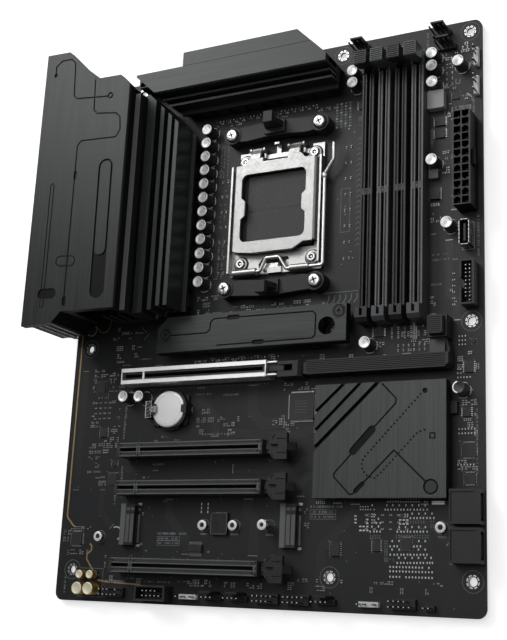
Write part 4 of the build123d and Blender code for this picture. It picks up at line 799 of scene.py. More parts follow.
# can rings, with a small cross beside those outside the long row
for x, y in CANS:
    silk.ring(x, y, 3.72, 4.08, SUNK, INK_TOP, "silk_white", 40)
    if x > 86 or x < 80:
        mark(x + 4.3, x + 5.0, y - 0.12, y + 0.12, "silk")
        mark(x + 4.53, x + 4.77, y - 0.35, y + 0.35, "silk")
# chip corners and dots
for x, y, a, b, height in CHIPS[1:]:
    if height < 2.5:
        for side_x in (-1, 1):
            for side_y in (-1, 1):
                cx, cy = x + side_x * (a / 2 + 0.55), y + side_y * (b / 2 + 0.55)
                mark(cx, cx - side_x, cy - 0.1, cy + 0.1)
                mark(cx - 0.1, cx + 0.1, cy, cy - side_y)
        silk.cyl(x - a / 2 - 1.2, y + b / 2 + 0.9, 0.22, SUNK, INK_TOP, "silk", 10)
# row of round points below the first slot
for k in range(38):
    silk.cyl(54.0 + 1.96 * k, 115.2, 0.34, SUNK, 0.035, "silk_dim", 10)
    if k % 2 == 0:
        silk.cyl(55.0 + 1.96 * k, 114.2, 0.22, SUNK, INK_TOP, "silk_dim", 8)
# outline, chevrons and hatching beside the memory slots
outline(165.8, 171.0, 194.8, 219.4, 0.3)
for k in range(4):
    mark(168.0, 168.9, 204.2 + k * 1.5, 205.0 + k * 1.5)
for k in range(21):
    y = 186.4 + 3.0 * k
    line([(174.6, y), (176.0, y + 1.3), (177.4, y)], 0.34)
for k in range(6):
    x = 158.4 + 3.2 * k
    line([(x, 155.4), (x + 2.0, 158.0), (x + 2.0, 160.4)], 0.6)
line([(157.0, 161.8), (178.6, 161.8)], 0.4)
# small table of dashes by the socket corner
for i in range(4):
    for j in range(9):
        x, y = 161.6 + 2.6 * i, 255.2 + 1.7 * j
        mark(x, x + 0.9, y, y + 1.0, "silk" if (i + j) % 3 == 0 else "silk_dim")
        mark(x + 1.25, x + 1.5, y, y + 1.0)
dashes(175.0, 177.6, 254.8, 259.6, seed=3, along_y=True)
for x in (90.2, 92.0, 94.6):
    dashes(x, x + 0.9, 236.0, 256.0, seed=int(x * 10), along_y=True, pitch=1.0)
for x in (91.4, 94.0):
    dashes(x, x + 0.9, 176.0, 200.0, seed=int(x * 7), along_y=True, pitch=1.0)
    dashes(x, x + 0.9, 208.0, 230.0, seed=int(x * 5), along_y=True, pitch=1.4, fill=0.5)
# tables by the storage sockets, legends and rings round the posts
for x, y in ((64.0, 30.4), (153.6, 44.6)):
    outline(x, x + 14.0, y, y + 2.4, 0.2)
    outline(x, x + 14.0, y + 2.6, y + 4.6, 0.2)
    dashes(x + 0.8, x + 13.2, y + 0.7, y + 1.7, seed=int(x), pitch=0.8)
    dashes(x + 0.8, x + 13.2, y + 3.1, y + 4.1, seed=int(x) + 1, pitch=0.8)
    dashes(x, x + 17.6, y + 5.6, y + 6.8, seed=int(x) + 2, pitch=0.9)
for x in (92.5, 110.6, 131.0, 222.5):
    dashes(x - 1.9, x + 1.9, 36.2, 37.1, seed=int(x), pitch=0.7, fill=0.95)
for x, y in SHORT_POSTS[:3] + [TALL_POST] + SHORT_POSTS[3:]:
    silk.ring(x, y, 3.05, 3.3, SUNK, INK_TOP, "silk_dim", 32)
silk.arc(37.2, 36.4, 3.1, 3.8, -70, 120, SUNK, 0.035, "silk", 20)
for k in range(3):
    for side in (-1, 1):
        facing = 0 if side > 0 else 180
        silk.arc(92.3 + 0.95 * side, 52.1 - 2.05 * k, 0.75, 1.35, facing - 34, facing + 34,
                 SUNK, 0.035, "silk_white", 8)
# dash bands near the slots, sockets and headers: x0, x1, y0, y1
BANDS_ALONG_X = [
    (100.0, 110.0, 109.6, 110.6), (82.6, 92.0, 110.6, 111.6), (44.0, 52.0, 132.6, 133.4),
    (62.0, 66.0, 88.0, 89.0), (88.0, 108.0, 88.6, 89.6), (56.0, 60.0, 86.0, 87.0),
    (70.0, 74.0, 86.2, 87.0), (58.0, 64.0, 73.0, 74.0), (66.0, 69.0, 53.2, 54.0),
    (52.0, 56.0, 66.0, 67.0), (56.0, 58.4, 27.0, 28.0), (95.0, 97.0, 27.0, 28.0),
    (46.0, 56.0, 12.4, 13.2), (58.0, 74.0, 11.0, 11.8), (78.0, 90.0, 11.6, 12.4),
    (32.6, 46.0, 10.8, 11.6), (228.0, 231.0, 173.0, 174.0), (217.0, 226.0, 173.6, 174.6),
    (217.0, 226.0, 176.4, 177.4), (216.6, 222.0, 160.6, 161.8), (206.0, 212.0, 292.0, 293.0),
    (186.0, 192.0, 297.0, 298.0), (102.0, 110.0, 158.4, 159.4), (130.0, 138.0, 156.4, 157.2),
    (84.0, 96.0, 156.0, 156.8)]
BANDS_ALONG_Y = [
    (37.0, 38.2, 88.0, 106.0), (37.6, 38.8, 64.0, 72.0), (37.4, 38.6, 100.0, 106.0),
    (226.4, 227.6, 24.0, 58.0), (240.6, 241.8, 174.0, 196.0), (34.2, 35.2, 52.0, 58.0),
    (5.4, 6.4, 4.0, 12.0), (213.6, 214.8, 290.0, 302.0), (216.0, 217.4, 236.0, 246.0),
    (31.0, 32.0, 18.0, 25.0), (239.4, 240.4, 66.0, 100.0), (238.6, 239.8, 252.0, 258.0)]
for seed, band in enumerate(BANDS_ALONG_X, 1):
    dashes(*band, seed, pitch=0.85)
for seed, band in enumerate(BANDS_ALONG_Y, 31):
    dashes(*band, seed, along_y=True, pitch=0.85)
# ticks beside the unarmoured slots
for y in SLOT_Y[1:]:
    for k in range(10):
        x = 47.0 + 9.1 * k
        mark(x, x + 0.2, y + 4.4, y + 5.6 - (k % 3) * 0.4)
        if k % 3 == 0:
            mark(x + 1.2, x + 1.4, y + 4.4, y + 5.0)
            mark(x, x + 0.2, y - 5.8, y - 4.4)
outline(15.2, 30.6, 2.4, 17.4, 0.22)
outline(233.0, 239.0, 177.9, 192.1, 0.2, "silk")
silk.done("laminate")

# --- Small passives with plated ends ---
passives = Builder("small_passives", "ceramic_tan", "resistor", "tin", "ceramic_grey", "chip_black")


def passive(x, y, length, width, height, upright, body):
    """One part lying along x, or along y where upright."""
    end, half_l, half_w = length * 0.24, length / 2, width / 2

    def piece(start_l, end_l, half, z0, z1, mat, chamfer=0.0):
        if upright:
            passives.box(x - half, x + half, y + start_l, y + end_l, z0, z1, mat, chamfer)
        else:
            passives.box(x + start_l, x + end_l, y - half, y + half, z0, z1, mat, chamfer)

    piece(end - half_l, half_l - end, half_w - 0.03, 0.0, height * 0.94, body)
    piece(-half_l, end - half_l, half_w, 0.0, height, "tin", 0.06)
    piece(half_l - end, half_l, half_w, 0.0, height, "tin", 0.06)
    piece(-half_l - 0.12, half_l + 0.12, half_w + 0.04, SUNK, 0.06, "tin")


def passive_if_free(x, y, length, width, height, upright, body):
    half_x, half_y = (width / 2, length / 2) if upright else (length / 2, width / 2)
    if free(x, y, half_x, half_y):
        passive(x, y, length, width, height, upright, body)


BODIES = ("ceramic_tan", "ceramic_tan", "resistor", "resistor", "ceramic_grey")


def clutter(x0, x1, y0, y1, seed, density):
    """Aligned groups of small parts filling a field."""
    rng = random.Random(seed)
    y = y0
    while y < y1 - 1.0:
        row = rng.choice((2.0, 2.8, 3.6))
        x = x0
        while x < x1 - 1.0:
            group = rng.choice((2.4, 3.6, 4.8))
            if rng.random() < density * 0.82:
                upright = rng.random() < 0.55
                length, width = (1.3, 0.7) if rng.random() < 0.18 else (0.84, 0.42)
                body = rng.choice(BODIES)
                step_x, step_y = length + 0.75, width + 0.62
                if upright:
                    step_x, step_y = step_y, step_x
                i = 0
                while x + (i + 0.5) * step_x < min(x + group, x1):
                    j = 0
                    while y + (j + 0.5) * step_y < min(y + row, y1):
                        if rng.random() < 0.8:
                            passive_if_free(x + (i + 0.5) * step_x, y + (j + 0.5) * step_y,
                                            length, width, width, upright, body)
                        j += 1
                    i += 1
            x += group + rng.choice((0.5, 1.2))
        y += row + rng.choice((0.5, 1.0))


# the CAD's own arrays: first x, y, counts, pitches, part size along x, along y, height
CAD_ARRAYS = [
    (90.0, 269.6, 14, 1, 4.6, 0, 2.0, 1.2, 0.9), (196.0, 135.4, 4, 3, 3.4, 2.2, 1.0, 1.6, 0.6),
    (199.4, 128.4, 6, 2, 2.8, 2.4, 0.8, 1.4, 0.6), (17.0, 100.0, 4, 4, 3.2, 3.0, 1.6, 0.8, 0.6),
    (228.4, 150.0, 1, 6, 0, 3.2, 1.6, 0.8, 0.6), (184.0, 40.0, 6, 3, 4.2, 3.4, 1.6, 0.8, 0.6),
    (224.8, 270.0, 2, 4, 3.0, 3.2, 0.8, 1.6, 0.6), (92.6, 170.0, 2, 8, 3.2, 9.0, 0.8, 1.6, 0.8),
    (168.4, 180.0, 2, 8, 3.0, 9.0, 0.8, 1.6, 0.8)]
for x0, y0, count_x, count_y, pitch_x, pitch_y, a, b, height in CAD_ARRAYS:
    for i in range(count_x):
        for j in range(count_y):
            x, y = x0 + i * pitch_x, y0 + j * pitch_y
            passive(x, y, max(a, b) * 0.72, min(a, b) * 0.72, height * 0.8, b > a,
                    "resistor" if (i + j) % 3 else "ceramic_grey")
            KEEP_CLEAR.append((x - a / 2 - 0.3, x + a / 2 + 0.3, y - b / 2 - 0.3, y + b / 2 + 0.3))
# fields of clutter: x0, x1, y0, y1, seed, density
FIELDS = [
    (186.0, 216.0, 125.0, 141.0, 1, 0.85), (14.6, 34.0, 80.0, 96.0, 2, 0.8),
    (14.6, 34.0, 97.0, 116.0, 3, 0.75), (14.0, 36.0, 117.0, 133.0, 4, 0.75),
    (14.6, 28.0, 62.0, 79.0, 5, 0.55), (25.0, 45.0, 134.0, 149.0, 6, 0.5),
    (68.0, 96.0, 156.0, 166.6, 7, 0.75), (104.0, 150.0, 155.0, 159.4, 8, 0.45),
    (134.0, 146.0, 159.0, 166.0, 9, 0.7), (66.0, 130.0, 127.0, 131.2, 10, 0.5),
    (150.0, 176.0, 126.2, 131.0, 11, 0.75), (81.0, 110.0, 89.0, 99.0, 12, 0.7),
    (83.0, 92.0, 100.0, 108.0, 13, 0.6), (130.0, 139.0, 90.0, 99.0, 14, 0.8),
    (136.0, 158.0, 110.6, 115.4, 15, 0.8), (138.0, 158.0, 88.0, 93.2, 16, 0.7),
    (153.6, 170.0, 52.0, 53.4, 19, 0.9), (229.0, 241.0, 84.0, 95.0, 20, 0.75),
    (229.0, 241.0, 59.6, 61.0, 21, 0.7), (230.0, 240.0, 68.0, 72.6, 22, 0.8),
    (228.6, 242.0, 99.0, 103.0, 23, 0.8), (230.0, 241.0, 112.0, 128.0, 24, 0.55),
    (216.0, 230.0, 150.0, 160.0, 25, 0.5), (216.0, 226.0, 194.0, 206.0, 26, 0.85),
    (222.4, 229.4, 207.0, 234.0, 27, 0.55), (223.0, 239.0, 251.0, 276.0, 28, 0.9),
    (224.0, 239.0, 279.0, 288.6, 29, 0.8), (228.8, 238.0, 288.6, 293.6, 30, 0.7),
    (183.0, 214.0, 289.0, 300.0, 31, 0.35), (86.0, 168.0, 267.0, 269.0, 32, 0.5),
    (84.0, 130.0, 9.6, 14.8, 33, 0.85), (131.0, 230.0, 9.6, 16.0, 34, 0.4),
    (2.0, 20.0, 38.0, 40.4, 35, 0.9), (2.0, 7.2, 24.0, 38.0, 36, 0.9),
    (7.6, 20.0, 24.4, 28.4, 37, 0.9), (31.0, 56.0, 10.0, 14.0, 38, 0.5),
    (52.0, 55.0, 30.0, 52.0, 39, 0.5), (150.2, 153.0, 30.0, 52.0, 40, 0.5),
    (14.0, 30.0, 152.0, 153.0, 42, 0.9), (24.0, 29.5, 150.2, 160.0, 43, 0.8)]
for field in FIELDS:
    clutter(*field)
# two pairs of columns between the memory slots
GAP_SHARE = 0.0     # chance that a place stays empty
rng = random.Random(7)
for k in range(14):
    for x0, body in ((202.2, "resistor"), (207.6, "ceramic_tan")):
        for x in (x0, x0 + 1.1):
            if rng.random() > GAP_SHARE:
                passive_if_free(x, 134.2 + 0.66 * k, 0.9, 0.42, 0.4, False, body)
passives.done("passives", replaces="smd_parts")

# --- Chip leads, flat pads and package marks ---
leads = Builder("chip_leads", "tin", "mark")


def lead(x, y, dx, dy, z, half_width, reach):
    """Gull-wing lead leaving a package side along the unit step (dx, dy)."""
    wide_x, wide_y = abs(dy) * half_width, abs(dx) * half_width
    for near, far, z0, z1 in ((0.0, 0.34, z - 0.09, z), (0.28, 0.42, 0.03, z),
                              (0.36, reach, 0.0, 0.12)):
        leads.box(x + dx * near - wide_x, x + dx * far + wide_x,
                  y + dy * near - wide_y, y + dy * far + wide_y, z0, z1)


for (x, y, size, _, _), count, z in ((CHIPS[0], 32, 0.75), (CHIPS[1], 12, 0.5)):
    out = size / 2 - 0.02
    for t in centred(count, (size - 1.6) / (count - 1)):
        for dx, dy in ((1, 0), (-1, 0), (0, 1), (0, -1)):
            lead(x + dx * out + abs(dy) * t, y + dy * out + abs(dx) * t, dx, dy, z, 0.11, 1.0)
WIDE_PACKAGE = (88.0, 29.6)     # built on its own below
for x, y, a, b, height in CHIPS[2:]:
    if min(a, b) < 2.4 or height > 2.5 or (x, y) == WIDE_PACKAGE:
        continue
    count = max(3, int(min(a, b) / 0.75))
    if a == b:
        for t in centred(count, 0.65):
            for side in (-1, 1):
                out = side * (a / 2 + 0.12)
                leads.block(x + out, y + t, 0.22, 0.14, 0.0, 0.1)
                leads.block(x + t, y + out, 0.14, 0.22, 0.0, 0.1)
    else:
        for t in centred(count, (b - 1.0) / (count - 1)):
            for side in (1, -1):
                lead(x + side * (a / 2 - 0.02), y + t, side, 0, height * 0.5, 0.17, 0.8)
for x, y, a, b, height in CHIPS:
    if min(a, b) > 3.5:
        leads.ring(x - a / 2 + 0.9, y + b / 2 - 0.9, 0.18, 0.34, height - 0.02, height + 0.012,
                   "mark", 14)
# parallel rules on the largest package
for k in range(5):
    leads.box(143.6, 150.6, 98.6 + 1.5 * k, 98.75 + 1.5 * k, 1.38, 1.412, "mark")
leads.done("chip_black")

# --- Processor contacts: sprung fingers rising diagonally ---
FINGER_FACES = [(0, 1, 3, 2), (2, 3, 5, 4), (8, 9, 7, 6), (10, 11, 9, 8), (0, 2, 8, 6),
                (2, 4, 10, 8), (3, 1, 7, 9), (5, 3, 9, 11), (1, 0, 6, 7), (4, 5, 11, 10)]
FINGER_LINE = ((-0.34, -0.30, 2.64), (0.02, 0.02, 2.84), (0.34, 0.30, 3.04))  # foot, beam, tip
FINGER_HALF, FINGER_T = 0.15, 0.08
PITCH_X, PITCH_Y = 1.27, 0.70
contacts = Builder("socket_contact_field", "pin_ground", "pin")
contacts.box(110.5, 146.7, 193.2, 233.0, 2.21, 2.66, "pin_ground", 0.1)
contacts.box(110.6, 146.6, 211.9, 212.35, 2.6, 2.72, "pin_ground", 0.05)
for y0, y1 in ((193.4, 211.7), (212.6, 232.8)):
    for j in range(int((y1 - y0 - 0.5) / PITCH_Y)):
        y = y0 + 0.5 + j * PITCH_Y
        for i in range(28):
            x = 111.3 + i * PITCH_X + PITCH_X / 2 * (j % 2)
            if x > 146.1:
                continue
            points = []
            for drop in (0.0, FINGER_T):
                for dx, dy, z in FINGER_LINE:
                    points += [(x + dx - s, y + dy + s, z - drop)
                               for s in (FINGER_HALF, -FINGER_HALF)]
            contacts.add(points, FINGER_FACES, "pin")
contacts.done("contacts", replaces="socket_contacts")

# --- Can capacitors ---
MARK_TURN = 0.62    # radians, direction of the top marks
CAN_R, CAN_TOP = 3.15, 8.38


def can(builder, x, y, r, top, top_mat, side_mat, marked=False):
    """Can on a moulded base with two cut corners, optionally with a segment and rules on top."""
    base = ((-0.72, -1), (1, -1), (1, 1), (-0.72, 1), (-1, 0.72), (-1, -0.72))
    builder.prism([(x + dx * (r + 0.12), y + dy * (r + 0.12)) for dx, dy in base],
                  0.02, 0.62, "black_moulding")
    builder.box(x - r - 0.35, x - r + 0.5, y - 0.4, y + 0.4, 0.0, 0.16, "tin")
    builder.box(x + r - 0.5, x + r + 0.35, y - 0.4, y + 0.4, 0.0, 0.16, "tin")
    builder.lathe(x, y, [(0, 0.60), (r - 0.4, 0.60), (r - 0.3, 0.72), (r - 0.04, 0.95), (r, 1.12),
                         (r, 1.7), (r - 0.22, 1.9), (r - 0.22, 2.1), (r, 2.32), (r, top - 0.42)],
                  side_mat, 36)
    builder.lathe(x, y, [(r, top - 0.43), (r - 0.05, top - 0.22), (r - 0.2, top - 0.06),
                         (r - 0.42, top), (r - 0.62, top - 0.03), (r - 0.7, top - 0.07),
                         (0, top - 0.07)], top_mat, 36)
    if marked:
        angles = [MARK_TURN + math.radians(t) for t in range(-38, 39, 8)]
        builder.prism([(x + (r - 0.75) * math.cos(a), y + (r - 0.75) * math.sin(a))
                       for a in angles], top - 0.09, top - 0.03, "cap_mark")
        scale = r / 3.1
        for back, half in ((-0.1, 0.9), (0.55, 1.1), (1.2, 0.8)):
            builder.block(x - math.cos(MARK_TURN) * back * scale,
                          y - math.sin(MARK_TURN) * back * scale, 0.1, half * scale,
                          top - 0.09, top - 0.035, "cap_mark", turn=MARK_TURN)


cans = Builder("can_capacitors", "cap_can", "cap_sleeve", "cap_mark", "black_moulding", "tin")
for x, y in CANS[:-1]:
    can(cans, x, y, CAN_R, CAN_TOP, "cap_can", "cap_sleeve", marked=True)
# the last can is dark, with a bright part-ring on top and a tin band down its rear side
x, y = CANS[-1]
can(cans, x, y, CAN_R, CAN_TOP, "cap_sleeve", "cap_sleeve")
cans.arc(x, y, 2.35, 3.0, 100, 260, 8.2, 8.395, "cap_can", 18)
cans.arc(x, y, 3.12, 3.165, 110, 250, 2.4, 7.9, "tin", 18)
cans.done("cap_can", replaces="capacitors", smooth=38)

audio_cans = Builder("audio_cans", "gold_top", "gold_side", "mark", "black_moulding", "tin")
for x, y, radius, top in ((19.4, 6.6, 3.25, 7.98), (26.6, 6.6, 3.25, 7.98),
                          (18.6, 14.0, 2.25, 5.58), (25.4, 14.0, 2.25, 5.58)):
    # painted highlight: the tops use a lighter gold than the sides
    can(audio_cans, x, y, radius, top, "gold_top", "gold_side")
audio_cans.done("gold_can", replaces="audio_capacitors", smooth=38)

# --- Coin cell and its clip ---
CELL = (68.8, 102.8)
cell = Builder("coin_cell_detail", "cell_steel", "cell_rim")
cell.lathe(*CELL, [(0, 2.02), (8.6, 2.02), (8.85, 2.2), (9.0, 2.3), (9.3, 2.45), (9.35, 2.7)],
           "cell_rim", 72)
cell.lathe(*CELL, [(9.35, 2.7), (9.85, 2.72), (9.98, 2.9), (9.98, 5.0), (9.86, 5.26), (9.6, 5.42),
                   (9.2, 5.5), (8.9, 5.56), (8.6, 5.58), (0, 5.60)], "cell_steel", 72)
cell.lathe(*CELL, [(7.9, 5.59), (8.0, 5.62), (8.1, 5.59)], "cell_rim", 72)
cell.done("cell_steel", replaces="coin_cell", smooth=30)

clip = Builder("cell_contacts", "port_shell", "tin")
clip.strip([(55.0, 98.4), (58.6, 98.4), (58.6, 107.2), (55.0, 107.2)], 0.35, 6.62, 6.72,
           closed=True)
for k in range(4):
    clip.strip([(55.2, 99.0 + 2.0 * k), (58.4, 101.0 + 2.0 * k)], 0.3, 6.62, 6.7)
clip.box(54.9, 55.36, 98.0, 107.6, 0.0, 6.64, "port_shell", 0.1)
clip.prism([(57.6, 101.4), (62.0, 100.9), (62.0, 104.7), (57.6, 104.2)], 6.5, 6.66)
clip.box(53.2, 54.9, 100.6, 105.0, 0.0, 0.25, "tin", 0.05)
clip.box(79.2, 81.0, 101.6, 104.0, 0.0, 0.22, "tin", 0.05)
clip.done("cell_steel")

# --- Memory slot contacts and rail tops ---
MEMORY_PITCH = 0.85
memory = Builder("memory_contacts", "contact_dim", "rail_grey", "rail_dark", "contact_dark")
for i, x in enumerate(MEMORY_X):
    pale = i in (1, 3)
    rail = "rail_grey" if pale else "rail_dark"
    for side in (-1, 1):
        for y0, y1 in ((150.4, 210.4), (214.2, 278.6)):
            for k in range(int((y1 - y0 - 0.8) / MEMORY_PITCH)):
                y = y0 + 0.6 + MEMORY_PITCH * k
                # painted shade: dimmed contacts, near-black in the black slots
                memory.box(x + side * 1.56, x + side * 2.24, y, y + 0.42, 8.66, 9.06,
                           "contact_dim" if pale else "contact_dark", 0.05)
                # painted shade: the contacts deeper in the groove are near-black
                memory.box(x + side * 0.62, x + side * 0.86, y, y + 0.42, 4.2, 8.0,
                           "contact_dark", 0.06)
            memory.box(x + side * 2.52, x + side * 3.18, y0 - 1.2, y1 + 0.8, 9.44, 9.62, rail, 0.08)
            memory.box(x + side * 0.92, x + side * 1.40, y0 - 1.2, y1 + 0.8, 9.44, 9.58, rail, 0.06)
    # painted shade: near-black bridges by the key
    for y0, y1 in ((210.5, 211.75), (212.85, 214.1)):
        memory.box(x - 0.88, x + 0.88, y0, y1, 9.4, 9.5, "contact_dark")
memory.done("slot_black")

# --- Expansion slot contacts, ribs and rims; the armoured slot has contacts only ---
expansion = Builder("expansion_contacts", "contact_dim", "slot_hole", "slot_rib")
for i, y in enumerate(SLOT_Y):
    for side in (-1, 1):
        for x0, count in ((44.2, 9), (57.4, 70)):
            for k in range(count):
                x = x0 + 1.0 * k
                # painted shade: contacts in the groove are dimmed copies of the contact metal
                expansion.box(x, x + 0.5, y + side * 1.96, y + side * 2.74, 10.32,
                              10.86 if i else 10.5, "contact_dim", 0.05)
                if i:
                    # painted highlight: the ribs are a lighter copy of the slot plastic
                    expansion.box(x + 0.62, x + 0.86, y + side * 1.86, y + side * 3.3,
                                  10.35, 11.24, "slot_rib", 0.05)
                # painted shade: the deeper contacts are dimmed as well
                expansion.box(x, x + 0.5, y + side * 0.66, y + side * 1.0, 4.4, 9.2,
                              "contact_dim", 0.08)
        if i:
            # painted highlight: lighter rails along the slot top
            expansion.box(42.6, 129.4, y + side * 3.16, y + side * 3.7, 11.14, 11.32,
                          "slot_rib", 0.08)
            expansion.box(43.6, 128.6, y + side * 1.0, y + side * 1.5, 11.14, 11.30,
                          "slot_rib", 0.08)
    if i:
        # curved rim near the front end and bridges over the key, in the lighter rib plastic of
        # painted highlight; holes in the top
        expansion.arc(130.2, y, 1.0, 1.9, 100, 260, 11.14, 11.34, "slot_rib", 10)
        for x in (54.3, 56.0):
            expansion.block(x, y, 0.24, 2.9, 10.9, 11.34, "slot_rib", 0.05)
        # painted shade: the holes in the top are dark rings
        for x in (42.6, 55.2, 129.6):
            for side in (-1, 1):
                expansion.ring(x, y + side * 2.9, 0.28, 0.62, 11.16, 11.36, "slot_hole", 12)
expansion.done("slot_black")

# --- Steel armour: raised lips, end bars and front tabs ---
armour = Builder("armour_detail", "armour_steel", "armour_weld")
y = SLOT_Y[0]
for side in (-1, 1):
    armour.box(41.5, 130.4, y + side * 2.06, y + side * 2.3, 11.3, 11.98, "armour_steel", 0.1)
    armour.box(40.9, 131.1, y + side * 4.15, y + side * 4.36, 11.5, 11.9, "armour_steel", 0.12)
armour.box(54.95, 56.05, y - 2.1, y + 2.1, 11.4, 11.96, "armour_steel", 0.1)
armour.box(40.9, 41.6, y - 4.3, y + 4.3, 11.7, 11.96, "armour_steel", 0.1)
armour.box(130.4, 131.1, y - 4.3, y + 4.3, 11.7, 11.96, "armour_steel", 0.1)
for side in (-1, 1):
    armour.box(131.0, 136.72, y + side * 2.84, y + side * 3.76, 10.5, 10.75, "armour_steel", 0.1)
armour.done("nickel")

# --- Power socket cavities ---
POWER_PITCH = 4.2
# centre x, y, cavities along x, along y
POWER_SOCKETS = ((236.35, 223.1, 2, 12), (47.4, 300.05, 4, 2), (65.8, 300.05, 4, 2))
# rim bars about a cavity centre: x0, x1, y0, y1
RIM_BARS = ((-1.92, 1.92, -1.92, -1.80), (-1.92, 1.92, 1.80, 1.92),
            (-1.92, -1.80, -1.80, 1.80), (1.80, 1.92, -1.80, 1.80))
power = Builder("power_socket_detail", "socket_rim", "tin_dim", "gloss_black")
for mid_x, mid_y, count_x, count_y in POWER_SOCKETS:
    for i, dx in enumerate(centred(count_x, POWER_PITCH)):
        for j, dy in enumerate(centred(count_y, POWER_PITCH)):
            x, y = mid_x + dx, mid_y + dy
            power.block(x, y, 0.55, 0.55, 1.9, POWER_TOP - 5.5, "gloss_black", 0.3)
            for x0, x1, y0, y1 in RIM_BARS:
                power.box(x + x0, x + x1, y + y0, y + y1, POWER_TOP - 0.3, POWER_TOP + 0.05,
                          "socket_rim", 0.04)
            if (i + j) % 2 == 0:
                # keyed cavities have two filled corners
                up = 1 if j % 4 < 2 else -1
                for side in (-1, 1):
                    corner = [(x + side * 1.78, y + up * 0.65), (x + side * 1.78, y + up * 1.78),
                              (x + side * 0.65, y + up * 1.78)]
                    if side * up < 0:
                        corner.reverse()
                    power.prism(corner, 2.4, POWER_TOP - 0.05, "gloss_black")
power.done("power_black")

# --- Header pins ---
PIN_PITCH = 2.54
BASE_ANGLES = (22, 68, 112, 158, 202, 248, 292, 338)
pins = Builder("header_pins", "pin_tip", "light_plastic", "gold", "black_moulding", "recess")


def pin(x, y, z0, z1, half=0.34, tip="pin_tip"):
    # painted light: the tip is a near-white painted highlight and the shank a dark painted shade
    shank = "black_moulding" if tip == "black_moulding" else "recess"
    pins.block(x, y, half * 0.9, half * 0.9, z0, z1 - 0.3, shank)
    pins.block(x, y, half, half, z1 - 0.45, z1, tip, half * 0.45)


def pin_grid(x0, y0, count_x, count_y, missing=None, top=8.4, tip="pin_tip", pale_base=False):
    """Header pins, one place left out; each has an eight-sided foot unless the base is pale."""
    for i in range(count_x):
        for j in range(count_y):
            x, y = x0 + i * PIN_PITCH, y0 + j * PIN_PITCH
            if (i, j) != missing:
                pin(x, y, 2.4, top + 0.05, tip=tip)
            if not pale_base:
                radius = PIN_PITCH / 2 * 0.98
                pins.prism([(x + radius * math.cos(math.radians(a)),
                             y + radius * math.sin(math.radians(a))) for a in BASE_ANGLES],
                           2.3, 2.56, "black_moulding")
    if pale_base:
        pins.box(x0 - 1.3, x0 + (count_x - 1) * PIN_PITCH + 1.3,
                 y0 - 1.3, y0 + (count_y - 1) * PIN_PITCH + 1.3, 0.0, 2.8, "light_plastic", 0.2)


for x, y in ((172.8, 299.4), (218.6, 299.4), (221.4, 290.7), (97.0, 4.6), (112.0, 4.6),
             (160.5, 4.6)):
    pin_grid(x, y, 4, 1, top=11.4, tip="black_moulding" if y > 200 else "pin_tip")
for y in (278.4, 262.2):
    pin_grid(241.2, y, 1, 4, missing=(0, 1), pale_base=True)
for x in (82.4, 183.0):
    pin_grid(x, 4.4, 4, 1, missing=(2, 0), pale_base=True)
for x, y, missing in ((34.5, 4.0, (3, 1)), (127.0, 3.8, (4, 0)), (144.0, 3.8, (4, 0)),
                      (199.0, 3.8, (4, 1))):
    pin_grid(x, y, 5, 2, missing)
pin_grid(216.0, 3.8, 2, 1)
# shrouded header by the lower edge
for k in range(5):
    for side in (-1, 1):
        if (k, side) != (4, 1):
            pin(66.5 + (k - 2) * PIN_PITCH, 5.4 + side * PIN_PITCH / 2, 1.5, 7.45)
# fine-pitch header by the front edge
for j in range(10):
    for x in (236.7, 238.7):
        if not (j == 0 and x < 237):
            pin(x, 149.8 + j * 2.0, 1.2, 7.25, half=0.31)
pins.done("black_moulding")

# --- Metal mouth of the upright front socket, and header rims ---
shells = Builder("front_socket_shells", "port_shell", "socket_rim", "tin", "contact")
for x0, x1 in ((233.3, 233.75), (238.25, 238.7)):
    for k in range(6):
        shells.box(x0, x1, 179.12 + 2 * k, 180.88 + 2 * k, 0.0, 7.72, "port_shell", 0.08)
for y0, y1 in ((178.3, 178.75), (191.25, 191.7)):
    for k in range(2):
        shells.box(234.1 + 2 * k, 235.9 + 2 * k, y0, y1, 0.0, 7.72, "port_shell", 0.08)
for k in range(20):
    for side in (-1, 1):
        x = 236.0 + side * 0.5
        shells.box(x - 0.06, x + 0.06, 180.8 + 0.42 * k, 181.0 + 0.42 * k, 3.0, 6.4, "contact")
# rim bars: x0, x1, y0, y1, z0, z1
for bar in ((234.15, 234.4, 147.4, 170.2, 8.5, 9.05), (241.0, 241.25, 147.4, 170.2, 8.5, 9.05),
            (234.2, 241.2, 147.35, 147.6, 8.5, 9.05), (234.2, 241.2, 170.0, 170.25, 8.5, 9.05),
            (57.35, 57.6, 1.6, 9.2, 8.2, 8.65), (75.4, 75.65, 1.6, 9.2, 8.2, 8.65),
            (57.4, 75.6, 1.55, 1.8, 8.2, 8.65), (57.4, 75.6, 9.0, 9.25, 8.2, 8.65)):
    shells.box(*bar, "socket_rim", 0.08)
shells.done("port_steel")

